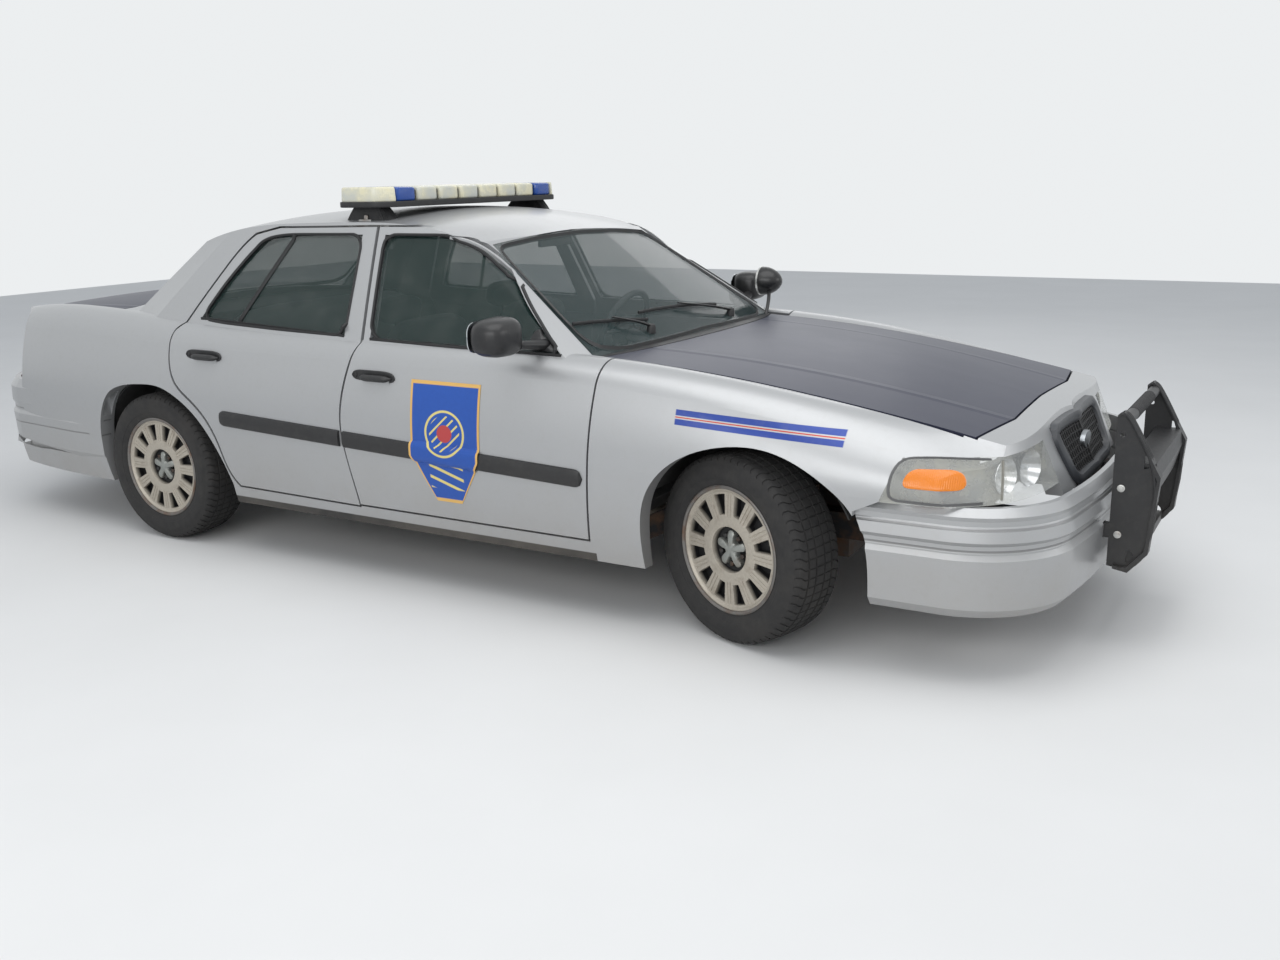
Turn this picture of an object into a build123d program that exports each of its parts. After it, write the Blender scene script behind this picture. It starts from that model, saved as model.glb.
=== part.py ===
from build123d import *
import math
import os

os.makedirs("parts", exist_ok=True)

# Millimetres. +X forward, +Y left, +Z up, ground at zero. Outlines are measured
# ahead of the front axle, so every work plane below starts at front_axle_x.
wheelbase = 2913
front_axle_x = 1530
track_rear = 1666
tyre_radius = 338
axle_z = tyre_radius
kingpin_y = 740
steer_rest = -18.8
moving_gap = 8
plate_y = 318
plate_thick = 10
pad_half = 24
bearing_gap = 0.3

side_wall = 75
top_wall = 35
cabin_wall = 33
roof_wall = 30
nose_wall = 60

side_plane = Plane(origin=(front_axle_x, 0, 0), x_dir=(1, 0, 0), z_dir=(0, -1, 0))


def plan_plane(height):
    return Plane(origin=(front_axle_x, 0, height), x_dir=(1, 0, 0), z_dir=(0, 0, 1))


def cross_plane(station):
    return Plane(origin=(front_axle_x + station, 0, 0), x_dir=(0, 1, 0), z_dir=(1, 0, 0))


def trace(segments):
    for points in segments:
        if len(points) == 2:
            Line(*points)
        else:
            Spline(*points)


def grown(segments, middle, gap):
    spread = []
    for points in segments:
        spread.append([
            (a + gap * ((a > middle[0]) - (a < middle[0])), b + gap * ((b > middle[1]) - (b < middle[1])))
            for a, b in points
        ])
    return spread


def side_block(segments, near=0, far=1200):
    with BuildPart() as block:
        with BuildSketch(side_plane.offset(-near)):
            with BuildLine():
                trace(segments)
            make_face()
        extrude(amount=near - far)
    return block.part


def plan_block(segments, low, high):
    with BuildPart() as block:
        with BuildSketch(plan_plane(low)):
            with BuildLine():
                trace(segments)
            make_face()
        extrude(amount=high - low)
    return block.part


def cross_block(segments, rear, front):
    with BuildPart() as block:
        with BuildSketch(cross_plane(rear)):
            with BuildLine():
                trace(segments)
            make_face()
        extrude(amount=front - rear)
    return block.part


def chain(*points):
    return [list(pair) for pair in zip(points, points[1:] + points[:1])]


def box_block(s0, s1, y0, y1, z0, z1):
    with BuildPart() as block:
        with Locations((front_axle_x + (s0 + s1) / 2, (y0 + y1) / 2, (z0 + z1) / 2)):
            Box(abs(s1 - s0), abs(y1 - y0), abs(z1 - z0))
    return block.part


def finish(builder, label):
    builder.part.label = label
    export_step(builder.part, f"parts/{label}.step")


# station, sill_y, bulge_y, shoulder_y, shoulder_z, seam_y, seam_z, crown_z
lower_sections = [
    (-4300, 760, 800, 735, 895, 640, 945, 960),
    (-3950, 860, 905, 850, 925, 668, 1003, 1028),
    (-3500, 915, 958, 908, 932, 700, 1018, 1052),
    (-2900, 930, 976, 932, 915, 745, 1000, 1030),
    (-1700, 932, 978, 938, 900, 760, 972, 985),
    (-700, 930, 974, 930, 885, 755, 955, 972),
    (-100, 925, 970, 915, 845, 748, 910, 938),
    (400, 912, 958, 890, 770, 740, 838, 868),
    (760, 880, 925, 860, 695, 725, 772, 795),
    (1010, 830, 875, 800, 640, 700, 712, 740),
]
bulge_z = 600
sill_z = 235


def lower_half(inset_side, inset_top, bottom):
    with BuildPart() as half:
        for station, sill_y, bulge_y, shoulder_y, shoulder_z, seam_y, seam_z, crown_z in lower_sections:
            with BuildSketch(cross_plane(station)):
                with BuildLine():
                    sill = (sill_y - inset_side, bottom)
                    bulge = (bulge_y - inset_side, bulge_z)
                    shoulder = (shoulder_y - inset_side * 0.8, shoulder_z - inset_top * 0.7)
                    seam = (seam_y, seam_z - inset_top)
                    crown = (0, crown_z - inset_top)
                    Line((0, bottom), sill)
                    TangentArc(bulge, sill, tangent=(0, -1))
                    upper = TangentArc(bulge, shoulder, tangent=(0, 1))
                    TangentArc(shoulder, seam, tangent=upper % 1)
                    TangentArc(crown, seam, tangent=(1, 0))
                    Line(crown, (0, bottom))
                make_face()
        loft()
    return half.part


# height, front points and rear points of the lower body seen from above
plan_sections = [
    (150, [(1144, 0), (1140, 429), (1087, 673), (985, 894), (805, 1010)],
     [(-3870, 1057), (-3976, 979), (-4151, 863), (-4260, 671), (-4293, 0)]),
    (1150, [(723, 0), (700, 524), (611, 816), (485, 882), (305, 1010)],
     [(-3870, 914), (-3928, 740), (-4056, 672), (-4153, 576), (-4198, 0)]),
]


def plan_half(inset):
    with BuildPart() as half:
        for height, front, rear in plan_sections:
            front_in = [(s - inset, y) for s, y in front]
            rear_in = [(s + inset, y) for s, y in rear]
            with BuildSketch(plan_plane(height)):
                with BuildLine():
                    Spline(*front_in)
                    Polyline(front_in[-1], (300, 1300), (-3800, 1300), rear_in[0])
                    Spline(*rear_in)
                    Line(rear_in[-1], front_in[0])
                make_face()
        loft(ruled=True)
    return half.part


# height, screen centre, screen corner, pillar, side middle, rear side, back corner, back centre
cabin_sections = [
    (900, -465, (-575, 797), (-629, 898), (-1800, 921), (-3050, 880), (-3386, 725), (-3540)),
    (1200, -950, (-1023, 662), (-1060, 733), (-1800, 768), (-2780, 745), (-2981, 668), (-3100)),
    (1500, -1425, (-1471, 527), (-1492, 568), (-1800, 602), (-2510, 590), (-2576, 600), (-2660)),
]
# station, roof centre height, drop at 630 mm to the side
roof_sections = [
    (-300, 1130, 22),
    (-900, 1290, 25),
    (-1300, 1392, 30),
    (-1500, 1440, 36),
    (-1850, 1470, 42),
    (-2400, 1458, 44),
    (-2700, 1412, 46),
    (-3000, 1310, 48),
    (-3700, 1080, 50),
]


def cabin_half(inset, roof_inset):
    with BuildPart() as half:
        for height, s0, corner, pillar, middle, rear_side, back, s1 in cabin_sections:
            with BuildSketch(plan_plane(height)):
                with BuildLine():
                    screen = (s0 - 1.9 * inset, 0)
                    corner_in = (corner[0] - 1.7 * inset, corner[1] - 0.7 * inset)
                    pillar_in = (pillar[0] - 1.3 * inset, pillar[1] - inset)
                    middle_in = (middle[0], middle[1] - 1.12 * inset)
                    rear_in = (rear_side[0] + 0.4 * inset, rear_side[1] - 1.12 * inset)
                    back_in = (back[0] + 1.6 * inset, back[1] - inset)
                    last = (s1 + 1.8 * inset, 0)
                    TangentArc(screen, corner_in, tangent=(0, 1))
                    Line(corner_in, pillar_in)
                    ThreePointArc(pillar_in, middle_in, rear_in)
                    Line(rear_in, back_in)
                    TangentArc(last, back_in, tangent=(0, 1))
                    Line(last, screen)
                make_face()
        loft()
        with BuildPart(mode=Mode.PRIVATE) as barrel:
            for station, roof_z, drop in roof_sections:
                with BuildSketch(cross_plane(station)):
                    with BuildLine():
                        edge_z = roof_z - roof_inset - drop * (1000 / 630) ** 2
                        TangentArc((0, roof_z - roof_inset), (1000, edge_z), tangent=(1, 0))
                        Line((1000, edge_z), (1000, 700))
                        Line((1000, 700), (0, 700))
                        Line((0, 700), (0, roof_z - roof_inset))
                    make_face()
            loft()
        add(barrel.part, mode=Mode.INTERSECT)
    return half.part


with BuildPart() as outer_half:
    add(lower_half(0, 0, sill_z))
    add(plan_half(0), mode=Mode.INTERSECT)
    add(cabin_half(0, 0))
with BuildPart() as inner_half:
    add(lower_half(side_wall, top_wall, 100))
    add(plan_half(nose_wall), mode=Mode.INTERSECT)
    add(cabin_half(cabin_wall, roof_wall))
with BuildPart() as shell_half:
    add(outer_half.part)
    add(inner_half.part, mode=Mode.SUBTRACT)

# outlines seen from the side, in runs of points: two points are a line, more a smooth curve
middle_gap = [(-1688, 312), (-1724, 542), (-1739, 651), (-1712, 850), (-1678, 965)]
front_door_edge = [(-550, 962), (-586, 318)]
rear_door_edge = [(-2745, 968), (-2750, 894), (-2710, 755), (-2608, 678), (-2522, 606), (-2458, 498),
                  (-2431, 410), (-2372, 318)]
front_door_outline = [
    front_door_edge, [(-586, 318), (-1800, 318)], [(-1800, 318), (-1800, 1408)], [(-1800, 1408), (-1441, 1408)],
    [(-1441, 1408), (-1293, 1392), (-1192, 1348)], [(-1192, 1348), (-640, 966)], [(-640, 966), (-550, 962)],
]
rear_door_outline = [
    middle_gap, [(-1678, 965), (-1760, 1408)], [(-1760, 1408), (-2300, 1400)], [(-2300, 1400), (-2436, 1372)],
    [(-2436, 1372), (-2500, 1318), (-2585, 1206), (-2668, 1085), (-2720, 1005)], [(-2720, 1005), (-2745, 968)],
    rear_door_edge, [(-2372, 318), (-1688, 312)],
]
front_window_outline = [
    [(-735, 968), (-857, 1060), (-963, 1140), (-1068, 1225), (-1190, 1318)],
    [(-1190, 1318), (-1290, 1362), (-1400, 1376)], [(-1400, 1376), (-1706, 1378)],
    [(-1706, 1378), (-1634, 985)], [(-1634, 985), (-735, 968)],
]
rear_window_outline = [
    [(-1772, 990), (-1822, 1378)], [(-1822, 1378), (-2260, 1372)], [(-2260, 1372), (-2360, 1355), (-2420, 1312)],
    [(-2420, 1312), (-2533, 1180), (-2640, 1020)], [(-2640, 1020), (-2500, 1008)], [(-2500, 1008), (-1772, 990)],
]
front_arch = [
    [(-356, 150), (-362, 402), (-334, 522), (-261, 619), (-157, 683), (-30, 717), (100, 718), (232, 678), (325, 625),
     (400, 560), (450, 462), (468, 321), (472, 150)], [(472, 150), (-356, 150)],
]
rear_arch = [
    [(-3253, 150), (-3271, 453), (-3238, 577), (-3170, 671), (-3087, 707), (-2952, 725), (-2824, 723), (-2705, 683),
     (-2593, 612), (-2524, 539), (-2472, 459), (-2420, 318)], [(-2420, 318), (-2420, 150)], [(-2420, 150), (-3253, 150)],
]
bumper_zone = chain((417, 100), (417, 552), (500, 592), (1300, 592), (1300, 100))

# outlines seen from above
hood_outline = [
    [(-520, 0), (-540, 350), (-592, 620), (-630, 736)], [(-630, 736), (735, 726)], [(735, 726), (777, 409)],
    [(777, 409), (767, 0)], [(767, 0), (-520, 0)],
]
trunk_outline = [
    [(-3400, 0), (-3385, 400), (-3340, 640)], [(-3340, 640), (-3355, 694)],
    [(-3355, 694), (-3500, 692), (-3950, 660), (-4350, 624)], [(-4350, 624), (-4350, 0)], [(-4350, 0), (-3400, 0)],
]
roof_outline = [
    [(-1150, 0), (-1150, 598)], [(-1150, 598), (-2560, 598)], [(-2560, 598), (-2860, 0)], [(-2860, 0), (-1150, 0)],
]
# outlines seen along the car
screen_outline = [
    [(0, 900), (780, 900)], [(780, 900), (585, 1340)], [(585, 1340), (300, 1362), (0, 1372)], [(0, 1372), (0, 900)],
]
back_glass_outline = [
    [(0, 1000), (665, 1000)], [(665, 1000), (572, 1316)], [(572, 1316), (300, 1340), (0, 1348)], [(0, 1348), (0, 1000)],
]
grille_outline = chain((0, 545), (278, 545), (340, 738), (335, 745), (0, 745))
lamp_outline = chain((500, 592), (556, 728), (1300, 728), (1300, 592))

# bumpers: height and how far in from the full outline
front_bumper_rings = [(236, 34), (268, 8), (430, 0), (446, 12), (474, 12), (488, 0), (522, 6), (536, 16), (552, 16),
                      (566, 10), (590, 34)]
rear_bumper_rings = [(330, 26), (360, 6), (500, 0), (516, 10), (540, 10), (556, 2), (630, 4), (668, 30)]
bumper_wall = 42


def front_bumper_half(inner):
    with BuildPart() as half:
        for height, inset in front_bumper_rings:
            d = bumper_wall + 10 if inner else inset
            with BuildSketch(plan_plane(height)):
                with BuildLine():
                    ThreePointArc((1085 - d, 0), (1074 - d, 330), (1038 - d, 640 - d * 0.4))
                    corner = TangentArc((1038 - d, 640 - d * 0.4), (700, 938 - d), tangent=(-0.16, 1))
                    Polyline(corner @ 1, (417, 943 - d), (417, 0), (1085 - d, 0))
                make_face()
        loft(ruled=True)
    return half.part


def rear_bumper_half(inner):
    with BuildPart() as half:
        for height, inset in rear_bumper_rings:
            d = bumper_wall + 10 if inner else inset
            with BuildSketch(plan_plane(height)):
                with BuildLine():
                    ThreePointArc((-4300 + d, 0), (-4294 + d, 300), (-4272 + d, 560 - d * 0.4))
                    corner = TangentArc((-4272 + d, 560 - d * 0.4), (-3960, 915 - d), tangent=(0.12, 1))
                    Line(corner @ 1, (-3480, 960 - d))
                    Polyline((-3480, 960 - d), (-3100, 962 - d), (-3100, 0), (-4300 + d, 0))
                make_face()
        loft(ruled=True)
    return half.part


front_door_block = side_block(front_door_outline, 600)
rear_door_block = side_block(rear_door_outline, 600)
front_door_room = side_block(grown(front_door_outline, (-1790, 860), moving_gap), 600)
rear_door_room = side_block(grown(rear_door_outline, (-2250, 860), moving_gap), 600)
arch_block = side_block(front_arch, 500)
rear_arch_block = side_block(rear_arch, 600)
hood_block = plan_block(hood_outline, 690, 1100)
hood_room = plan_block(grown(hood_outline, (0, 0), moving_gap), 690, 1100)
trunk_block = plan_block(trunk_outline, 905, 1150)
trunk_room = plan_block(grown(trunk_outline, (-3900, 0), moving_gap), 899, 1150)
trunk_face_block = box_block(-4400, -4040, 0, 481, 700, 905)
trunk_face_room = box_block(-4400, -4034, 0, 487, 694, 905)
lower_body = lower_half(0, 0, sill_z)
screen_block = cross_block(screen_outline, -1500, -400) - lower_body
back_glass_block = cross_block(back_glass_outline, -3600, -2700) - lower_body
roof_block = plan_block(roof_outline, 1296, 1550) - cross_block(screen_outline, -1500, -400)
roof_block = roof_block - cross_block(back_glass_outline, -3600, -2700)
tail_lamp_block = box_block(-4400, -4050, 487, 1100, 655, 899)
tail_block = box_block(-4400, -4050, 0, 1100, 330, 655) + box_block(-4400, -4050, 0, 487, 655, 694)
under_tail_block = box_block(-4400, -4050, 0, 1200, 200, 330)
bumper_block = side_block(bumper_zone, 0)
screen_room = cross_block(grown(screen_outline, (0, 0), moving_gap), -1500, -400)
cowl_room = box_block(-830, -400, 0, 750, 200, 984)
cowl_block = box_block(-800, -450, 0, 742, 200, 976)
lamp_block = side_block(lamp_outline, 452)
front_bumper_solid = front_bumper_half(False)
rear_bumper_solid = rear_bumper_half(False)
front_bumper_ring = front_bumper_solid - front_bumper_half(True)
rear_bumper_ring = rear_bumper_solid - rear_bumper_half(True)

with BuildPart() as front_bumper:
    add(front_bumper_ring)
    add(box_block(1000, 1100, plate_y - 28, plate_y + 8, 383, 437), mode=Mode.SUBTRACT)
    add(arch_block, mode=Mode.SUBTRACT)
    mirror(about=Plane.XZ)
finish(front_bumper, "front_bumper")
with BuildPart() as rear_bumper:
    add(rear_bumper_ring)
    add(rear_arch_block, mode=Mode.SUBTRACT)
    add(side_block(chain((-3000, 200), (-3000, 800), (-3240, 800), (-3260, 200))), mode=Mode.SUBTRACT)
    add(side_block(chain((-3000, 300), (-3275, 312), (-4000, 380), (-4400, 385), (-4400, 200), (-3000, 200))),
        mode=Mode.SUBTRACT)
    mirror(about=Plane.XZ)
finish(rear_bumper, "rear_bumper")

# doors, left then mirrored to the right
door_glass_layer = cabin_half(12, 12) - cabin_half(17, 17)
# the front door's window frame sits on its lower panel along the bottom of the glass
window_frame_block = side_block(
    chain((-3000, 965), (-1686, 965), (-1634, 985), (-735, 968), (-640, 966), (-400, 966), (-400, 1500), (-3000, 1500)), 500
)
for side in ("left", "right"):
    for place, block, room, window in (
        ("front", front_door_block, rear_door_room, front_window_outline),
        ("rear", rear_door_block, None, rear_window_outline),
    ):
        window_block = side_block(window, 600)
        with BuildPart() as door:
            add(shell_half.part)
            add(block, mode=Mode.INTERSECT)
            add(window_block, mode=Mode.SUBTRACT)
            if place == "front":
                add(screen_room, mode=Mode.SUBTRACT)
                add(cowl_room, mode=Mode.SUBTRACT)
            if room:
                add(room, mode=Mode.SUBTRACT)
                add(side_block(grown(rear_door_outline, (-2250, 860), moving_gap + 5), 600, 882), mode=Mode.SUBTRACT)
            add(rear_arch_block, mode=Mode.SUBTRACT)
        pressings = [(door.part, "door")]
        if place == "front":
            pressings = [(door.part - window_frame_block, "door"), (door.part & window_frame_block, "window_frame")]
        for pressing, kind in pressings:
            with BuildPart() as placed:
                add(pressing)
                if side == "right":
                    mirror(about=Plane.XZ, mode=Mode.REPLACE)
            finish(placed, f"{place}_{side}_{kind}")
        with BuildPart() as door_glass:
            add(door_glass_layer)
            add(side_block(window, 640), mode=Mode.INTERSECT)
            if side == "right":
                mirror(about=Plane.XZ, mode=Mode.REPLACE)
        finish(door_glass, f"{place}_{side}_glass")

# outside panels that open
with BuildPart() as hood:
    add(shell_half.part)
    add(hood_block, mode=Mode.INTERSECT)
    mirror(about=Plane.XZ)
finish(hood, "hood")
with BuildPart() as trunk_lid:
    add(shell_half.part)
    add(trunk_block + trunk_face_block, mode=Mode.INTERSECT)
    mirror(about=Plane.XZ)
finish(trunk_lid, "trunk_lid")

# fixed outside panels
with BuildPart() as front_fenders:
    add(shell_half.part)
    add(box_block(-560, 1300, 742, 1200, 200, 1100), mode=Mode.INTERSECT)
    for cut in (front_door_room, hood_room, arch_block, bumper_block, lamp_block, front_bumper_ring):
        add(cut, mode=Mode.SUBTRACT)
    mirror(about=Plane.XZ)
finish(front_fenders, "front_fenders")
with BuildPart() as nose_panel:
    add(shell_half.part)
    add(box_block(700, 1300, 0, 742, 728, 900) + box_block(700, 1300, 0, 452, 545, 728), mode=Mode.INTERSECT)
    add(hood_room, mode=Mode.SUBTRACT)
    add(cross_block(grille_outline, 700, 1300), mode=Mode.SUBTRACT)
    mirror(about=Plane.XZ)
finish(nose_panel, "nose_panel")
with BuildPart() as grille:
    add(shell_half.part)
    add(cross_block(grille_outline, 700, 1300), mode=Mode.INTERSECT)
    mirror(about=Plane.XZ)
finish(grille, "grille")
with BuildPart() as headlamps:
    add(shell_half.part)
    add(lamp_block, mode=Mode.INTERSECT)
    mirror(about=Plane.XZ)
finish(headlamps, "headlamps")
with BuildPart() as cowl:
    add(shell_half.part)
    add(cowl_block, mode=Mode.INTERSECT)
    add(hood_room, mode=Mode.SUBTRACT)
    add(screen_block, mode=Mode.SUBTRACT)
    mirror(about=Plane.XZ)
finish(cowl, "cowl")
with BuildPart() as roof_panel:
    add(shell_half.part)
    add(roof_block, mode=Mode.INTERSECT)
    mirror(about=Plane.XZ)
finish(roof_panel, "roof_panel")
with BuildPart() as tail_panel:
    add(shell_half.part)
    add(tail_block, mode=Mode.INTERSECT)
    add(rear_bumper_ring, mode=Mode.SUBTRACT)
    mirror(about=Plane.XZ)
finish(tail_panel, "tail_panel")
with BuildPart() as tail_lamps:
    add(shell_half.part)
    add(tail_lamp_block, mode=Mode.INTERSECT)
    add(trunk_room, mode=Mode.SUBTRACT)
    add(rear_bumper_ring, mode=Mode.SUBTRACT)
    mirror(about=Plane.XZ)
finish(tail_lamps, "tail_lamps")

# middle pillar between the doors
pillar_outline = chain((-1650, 250), (-1780, 250), (-1775, 900), (-1812, 1460), (-1752, 1460), (-1668, 900))
pillar_section = chain((800, 268), (880, 268), (880, 306), (836, 312), (872, 600), (850, 880), (824, 955), (702, 1200),
                       (596, 1396), (640, 1412), (640, 1450), (560, 1450), (560, 1390), (668, 1190), (790, 950),
                       (800, 880))
with BuildPart() as middle_pillar:
    add(side_block(pillar_outline, 450))
    add(cross_block(pillar_section, -1900, -1500), mode=Mode.INTERSECT)
    add(inner_half.part, mode=Mode.INTERSECT)
    for y0, y1, z0, z1 in ((599, 606, 1380, 1426), (810, 884, 268, 298)):
        with BuildPart(mode=Mode.PRIVATE) as pillar_end:
            add(side_block(pillar_outline, 450))
            add(box_block(-1900, -1500, y0, y1, z0, z1), mode=Mode.INTERSECT)
        add(pillar_end.part)
with BuildPart() as body_shell:
    add(shell_half.part)
    add(box_block(-4400, -560, 0, 1200, 200, 1550), mode=Mode.INTERSECT)
    add(roof_block, mode=Mode.SUBTRACT)
    add(middle_pillar.part)
    for cut in (front_door_room, rear_door_room, hood_room, trunk_room, trunk_face_room, screen_block,
                back_glass_block, tail_lamp_block, tail_block, under_tail_block, rear_bumper_ring, rear_arch_block,
                cowl_block):
        add(cut, mode=Mode.SUBTRACT)
    mirror(about=Plane.XZ)
finish(body_shell, "body_shell")

screen_layer = cabin_half(3, 3) - cabin_half(9, 9)
with BuildPart() as windshield:
    add(screen_layer)
    add(screen_block, mode=Mode.INTERSECT)
    mirror(about=Plane.XZ)
finish(windshield, "windshield")
with BuildPart() as rear_window:
    add(screen_layer)
    add(back_glass_block, mode=Mode.INTERSECT)
    mirror(about=Plane.XZ)
finish(rear_window, "rear_window")

# wheels: profiles as (across, radius), across measured outwards from the middle of the tyre
tyre_profile = [
    [(-97, 222), (-97, 230)], [(-97, 230), (-108, 252), (-112, 280), (-104, 318), (-90, 332)], [(-90, 332), (-45, 337), (0, 338), (45, 337), (90, 332)],
    [(90, 332), (104, 318), (112, 280), (108, 252), (97, 230)], [(97, 230), (97, 222)], [(97, 222), (82, 216)],
    [(82, 216), (92, 250)],
    [(92, 250), (98, 280), (88, 312), (70, 320)], [(70, 320), (-70, 320)], [(-70, 320), (-88, 312), (-98, 280), (-92, 250)],
    [(-92, 250), (-82, 216)], [(-82, 216), (-97, 222)],
]
rim_profile = chain((-100, 224), (-99, 229), (-97, 229), (-97, 222), (-82, 216), (-60, 214), (-30, 196), (20, 196), (50, 214), (82, 216),
                    (97, 222), (97, 229), (99, 229), (102, 224), (98, 216), (84, 209), (66, 206), (60, 200), (58, 150), (64, 100), (60, 60),
                    (60, 0), (50, 0), (50, 20 + bearing_gap), (-45, 20 + bearing_gap), (-45, 42), (-30, 52), (-30, 150), (-8, 150), (-8, 70), (20, 62), (44, 66),
                    (46, 100), (42, 150), (38, 188), (20, 190), (-32, 190), (-62, 208), (-84, 210), (-96, 216))
slot_count = 12


def wheel_pair(label, middle, turn):
    mirrored = middle[1] < 0
    with BuildPart() as tyre:
        with BuildSketch(Plane.YZ):
            with BuildLine():
                trace(tyre_profile)
            make_face()
        revolve(axis=Axis.Y)
    with BuildPart() as wheel:
        with BuildSketch(Plane.YZ):
            with BuildLine():
                trace(rim_profile)
            make_face()
        revolve(axis=Axis.Y)
        with BuildSketch(Plane.XZ.offset(-30)):
            with PolarLocations(156, slot_count):
                SlotOverall(44, 18)
        extrude(amount=-60, mode=Mode.SUBTRACT)
    for builder, name in ((tyre, "tyre"), (wheel, "wheel")):
        shape = builder.part
        if mirrored:
            shape = shape.mirror(Plane.XZ)
        with BuildPart() as placed:
            add(Location(middle, (0, 0, turn)) * shape)
        finish(placed, f"{label}_{name}")


turn_x = 65 * math.sin(math.radians(-steer_rest))
turn_y = 65 * math.cos(math.radians(steer_rest))
rear_axle_x = front_axle_x - wheelbase
wheel_pair("front_left", (front_axle_x + turn_x, kingpin_y + turn_y, axle_z), steer_rest)
wheel_pair("front_right", (front_axle_x - turn_x, -kingpin_y - turn_y, axle_z), steer_rest)
wheel_pair("rear_left", (rear_axle_x, track_rear / 2, axle_z), 0)
wheel_pair("rear_right", (rear_axle_x, -track_rear / 2, axle_z), 0)

# steered knuckles, drawn about the kingpin with the wheel straight ahead
for label, sign in (("left", 1), ("right", -1)):
    with BuildPart() as knuckle:
        with Locations((0, 0, 0)):
            Box(60, 30, 210)
        with Locations((0, 0, 116)):
            Box(44, 30, 24)
        with Locations((0, 0, -115)):
            Box(50, 30, 24)
        with BuildSketch(Plane.XZ.offset(-10)):
            Circle(40)
        extrude(amount=-4)
        with BuildSketch(Plane.XZ.offset(-12)):
            Circle(20)
        extrude(amount=-80)
        with Locations((-110, 8, 0)):
            Box(50, 20, 90)
        with Locations((-65, 0, 0)):
            Box(90, 14, 40)
        if sign < 0:
            mirror(about=Plane.XZ, mode=Mode.REPLACE)
    with BuildPart() as placed:
        add(Location((front_axle_x, sign * kingpin_y, axle_z), (0, 0, steer_rest)) * knuckle.part)
    finish(placed, f"{label}_knuckle")

# front suspension: arms carried on the frame rails
lower_ball_z = axle_z - 127
upper_ball_z = axle_z + 128
with BuildPart() as front_suspension:
    with BuildSketch(plan_plane(lower_ball_z - 26)):
        Polygon((-130, 475), (-80, 475), (-22, 690), (22, 690), (70, 475), (120, 475), (17, 758), (-17, 758), align=None)
    extrude(amount=26)
    with BuildSketch(plan_plane(upper_ball_z)):
        Polygon((-90, 475), (-40, 475), (-14, 690), (14, 690), (40, 475), (90, 475), (16, 756), (-16, 756), align=None)
    extrude(amount=20)
    add(box_block(-132, -78, 440, 480, lower_ball_z - 26, 302))
    add(box_block(68, 122, 440, 480, lower_ball_z - 26, 302))
    add(box_block(-95, 95, 430, 480, 398, upper_ball_z + 20))
    mirror(about=Plane.XZ)
finish(front_suspension, "front_suspension")

# ladder frame: station, rail middle across, rail middle height
rail_stations = [
    (1030, 430, 430), (640, 430, 430), (430, 430, 350), (-380, 430, 350), (-680, 640, 208), (-2345, 640, 208),
    (-2760, 540, 500), (-3130, 540, 500), (-3300, 540, 370), (-4230, 540, 370),
]
with BuildPart() as chassis_frame:
    for station, middle_y, middle_z in rail_stations:
        with BuildSketch(cross_plane(station)):
            with Locations((middle_y, middle_z)):
                Rectangle(80, 96)
    loft(ruled=True)
    for neighbour in (front_bumper_ring, rear_bumper_ring, tail_panel.part, body_shell.part):
        add(neighbour, mode=Mode.SUBTRACT)
    mirror(about=Plane.XZ)
finish(chassis_frame, "chassis_frame")

# cross members between the inner faces of the rails
with BuildPart() as cross_members:
    for s0, s1, inner_y, z0, z1 in ((940, 1000, 390, 382, 440), (540, 640, 390, 382, 460), (-240, 200, 390, 206, 310),
                                    (-1250, -1170, 600, 160, 186), (-2240, -2150, 600, 160, 186), (-3180, -3100, 500, 470, 500),
                                    (-4150, -4060, 500, 330, 410)):
        add(box_block(s0, s1, 0, inner_y, z0, z1))
    for neighbour in (front_bumper_ring, rear_bumper_ring, tail_panel.part):
        add(neighbour, mode=Mode.SUBTRACT)
    mirror(about=Plane.XZ)
finish(cross_members, "cross_members")

# floor, seen from the side as one bent sheet from the firewall to the trunk
floor_line = [(-476, 900), (-476, 420), (-690, 262), (-2330, 262), (-2400, 430), (-2600, 470), (-2700, 569), (-3230, 569),
              (-3330, 430), (-4300, 430)]
bulkhead_line = [(-2790, 569), (-2975, 985), (-3300, 1000)]
with BuildPart() as floor_half:
    with BuildSketch(side_plane):
        with BuildLine() as floor_path:
            Polyline(*floor_line)
            offset(amount=6, side=Side.BOTH)
        make_face()
    extrude(amount=-835)
    with BuildSketch(side_plane):
        with BuildLine() as bulkhead_path:
            Polyline(*bulkhead_line)
            offset(amount=6, side=Side.BOTH)
        make_face()
    extrude(amount=-835)
    add(box_block(-2330, -700, 800, 900, 256, 268))
    add(box_block(-4300, -3330, 800, 960, 424, 436))
    add(inner_half.part, mode=Mode.INTERSECT)
    add(rear_bumper_ring, mode=Mode.SUBTRACT)
    with BuildSketch(side_plane.offset(-680)):
        with Locations((-wheelbase, axle_z)):
            Circle(416)
    extrude(amount=-400, mode=Mode.SUBTRACT)
with BuildPart() as floor_pan:
    add(floor_half.part)
    mirror(about=Plane.XZ)
finish(floor_pan, "floor_pan")

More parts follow.
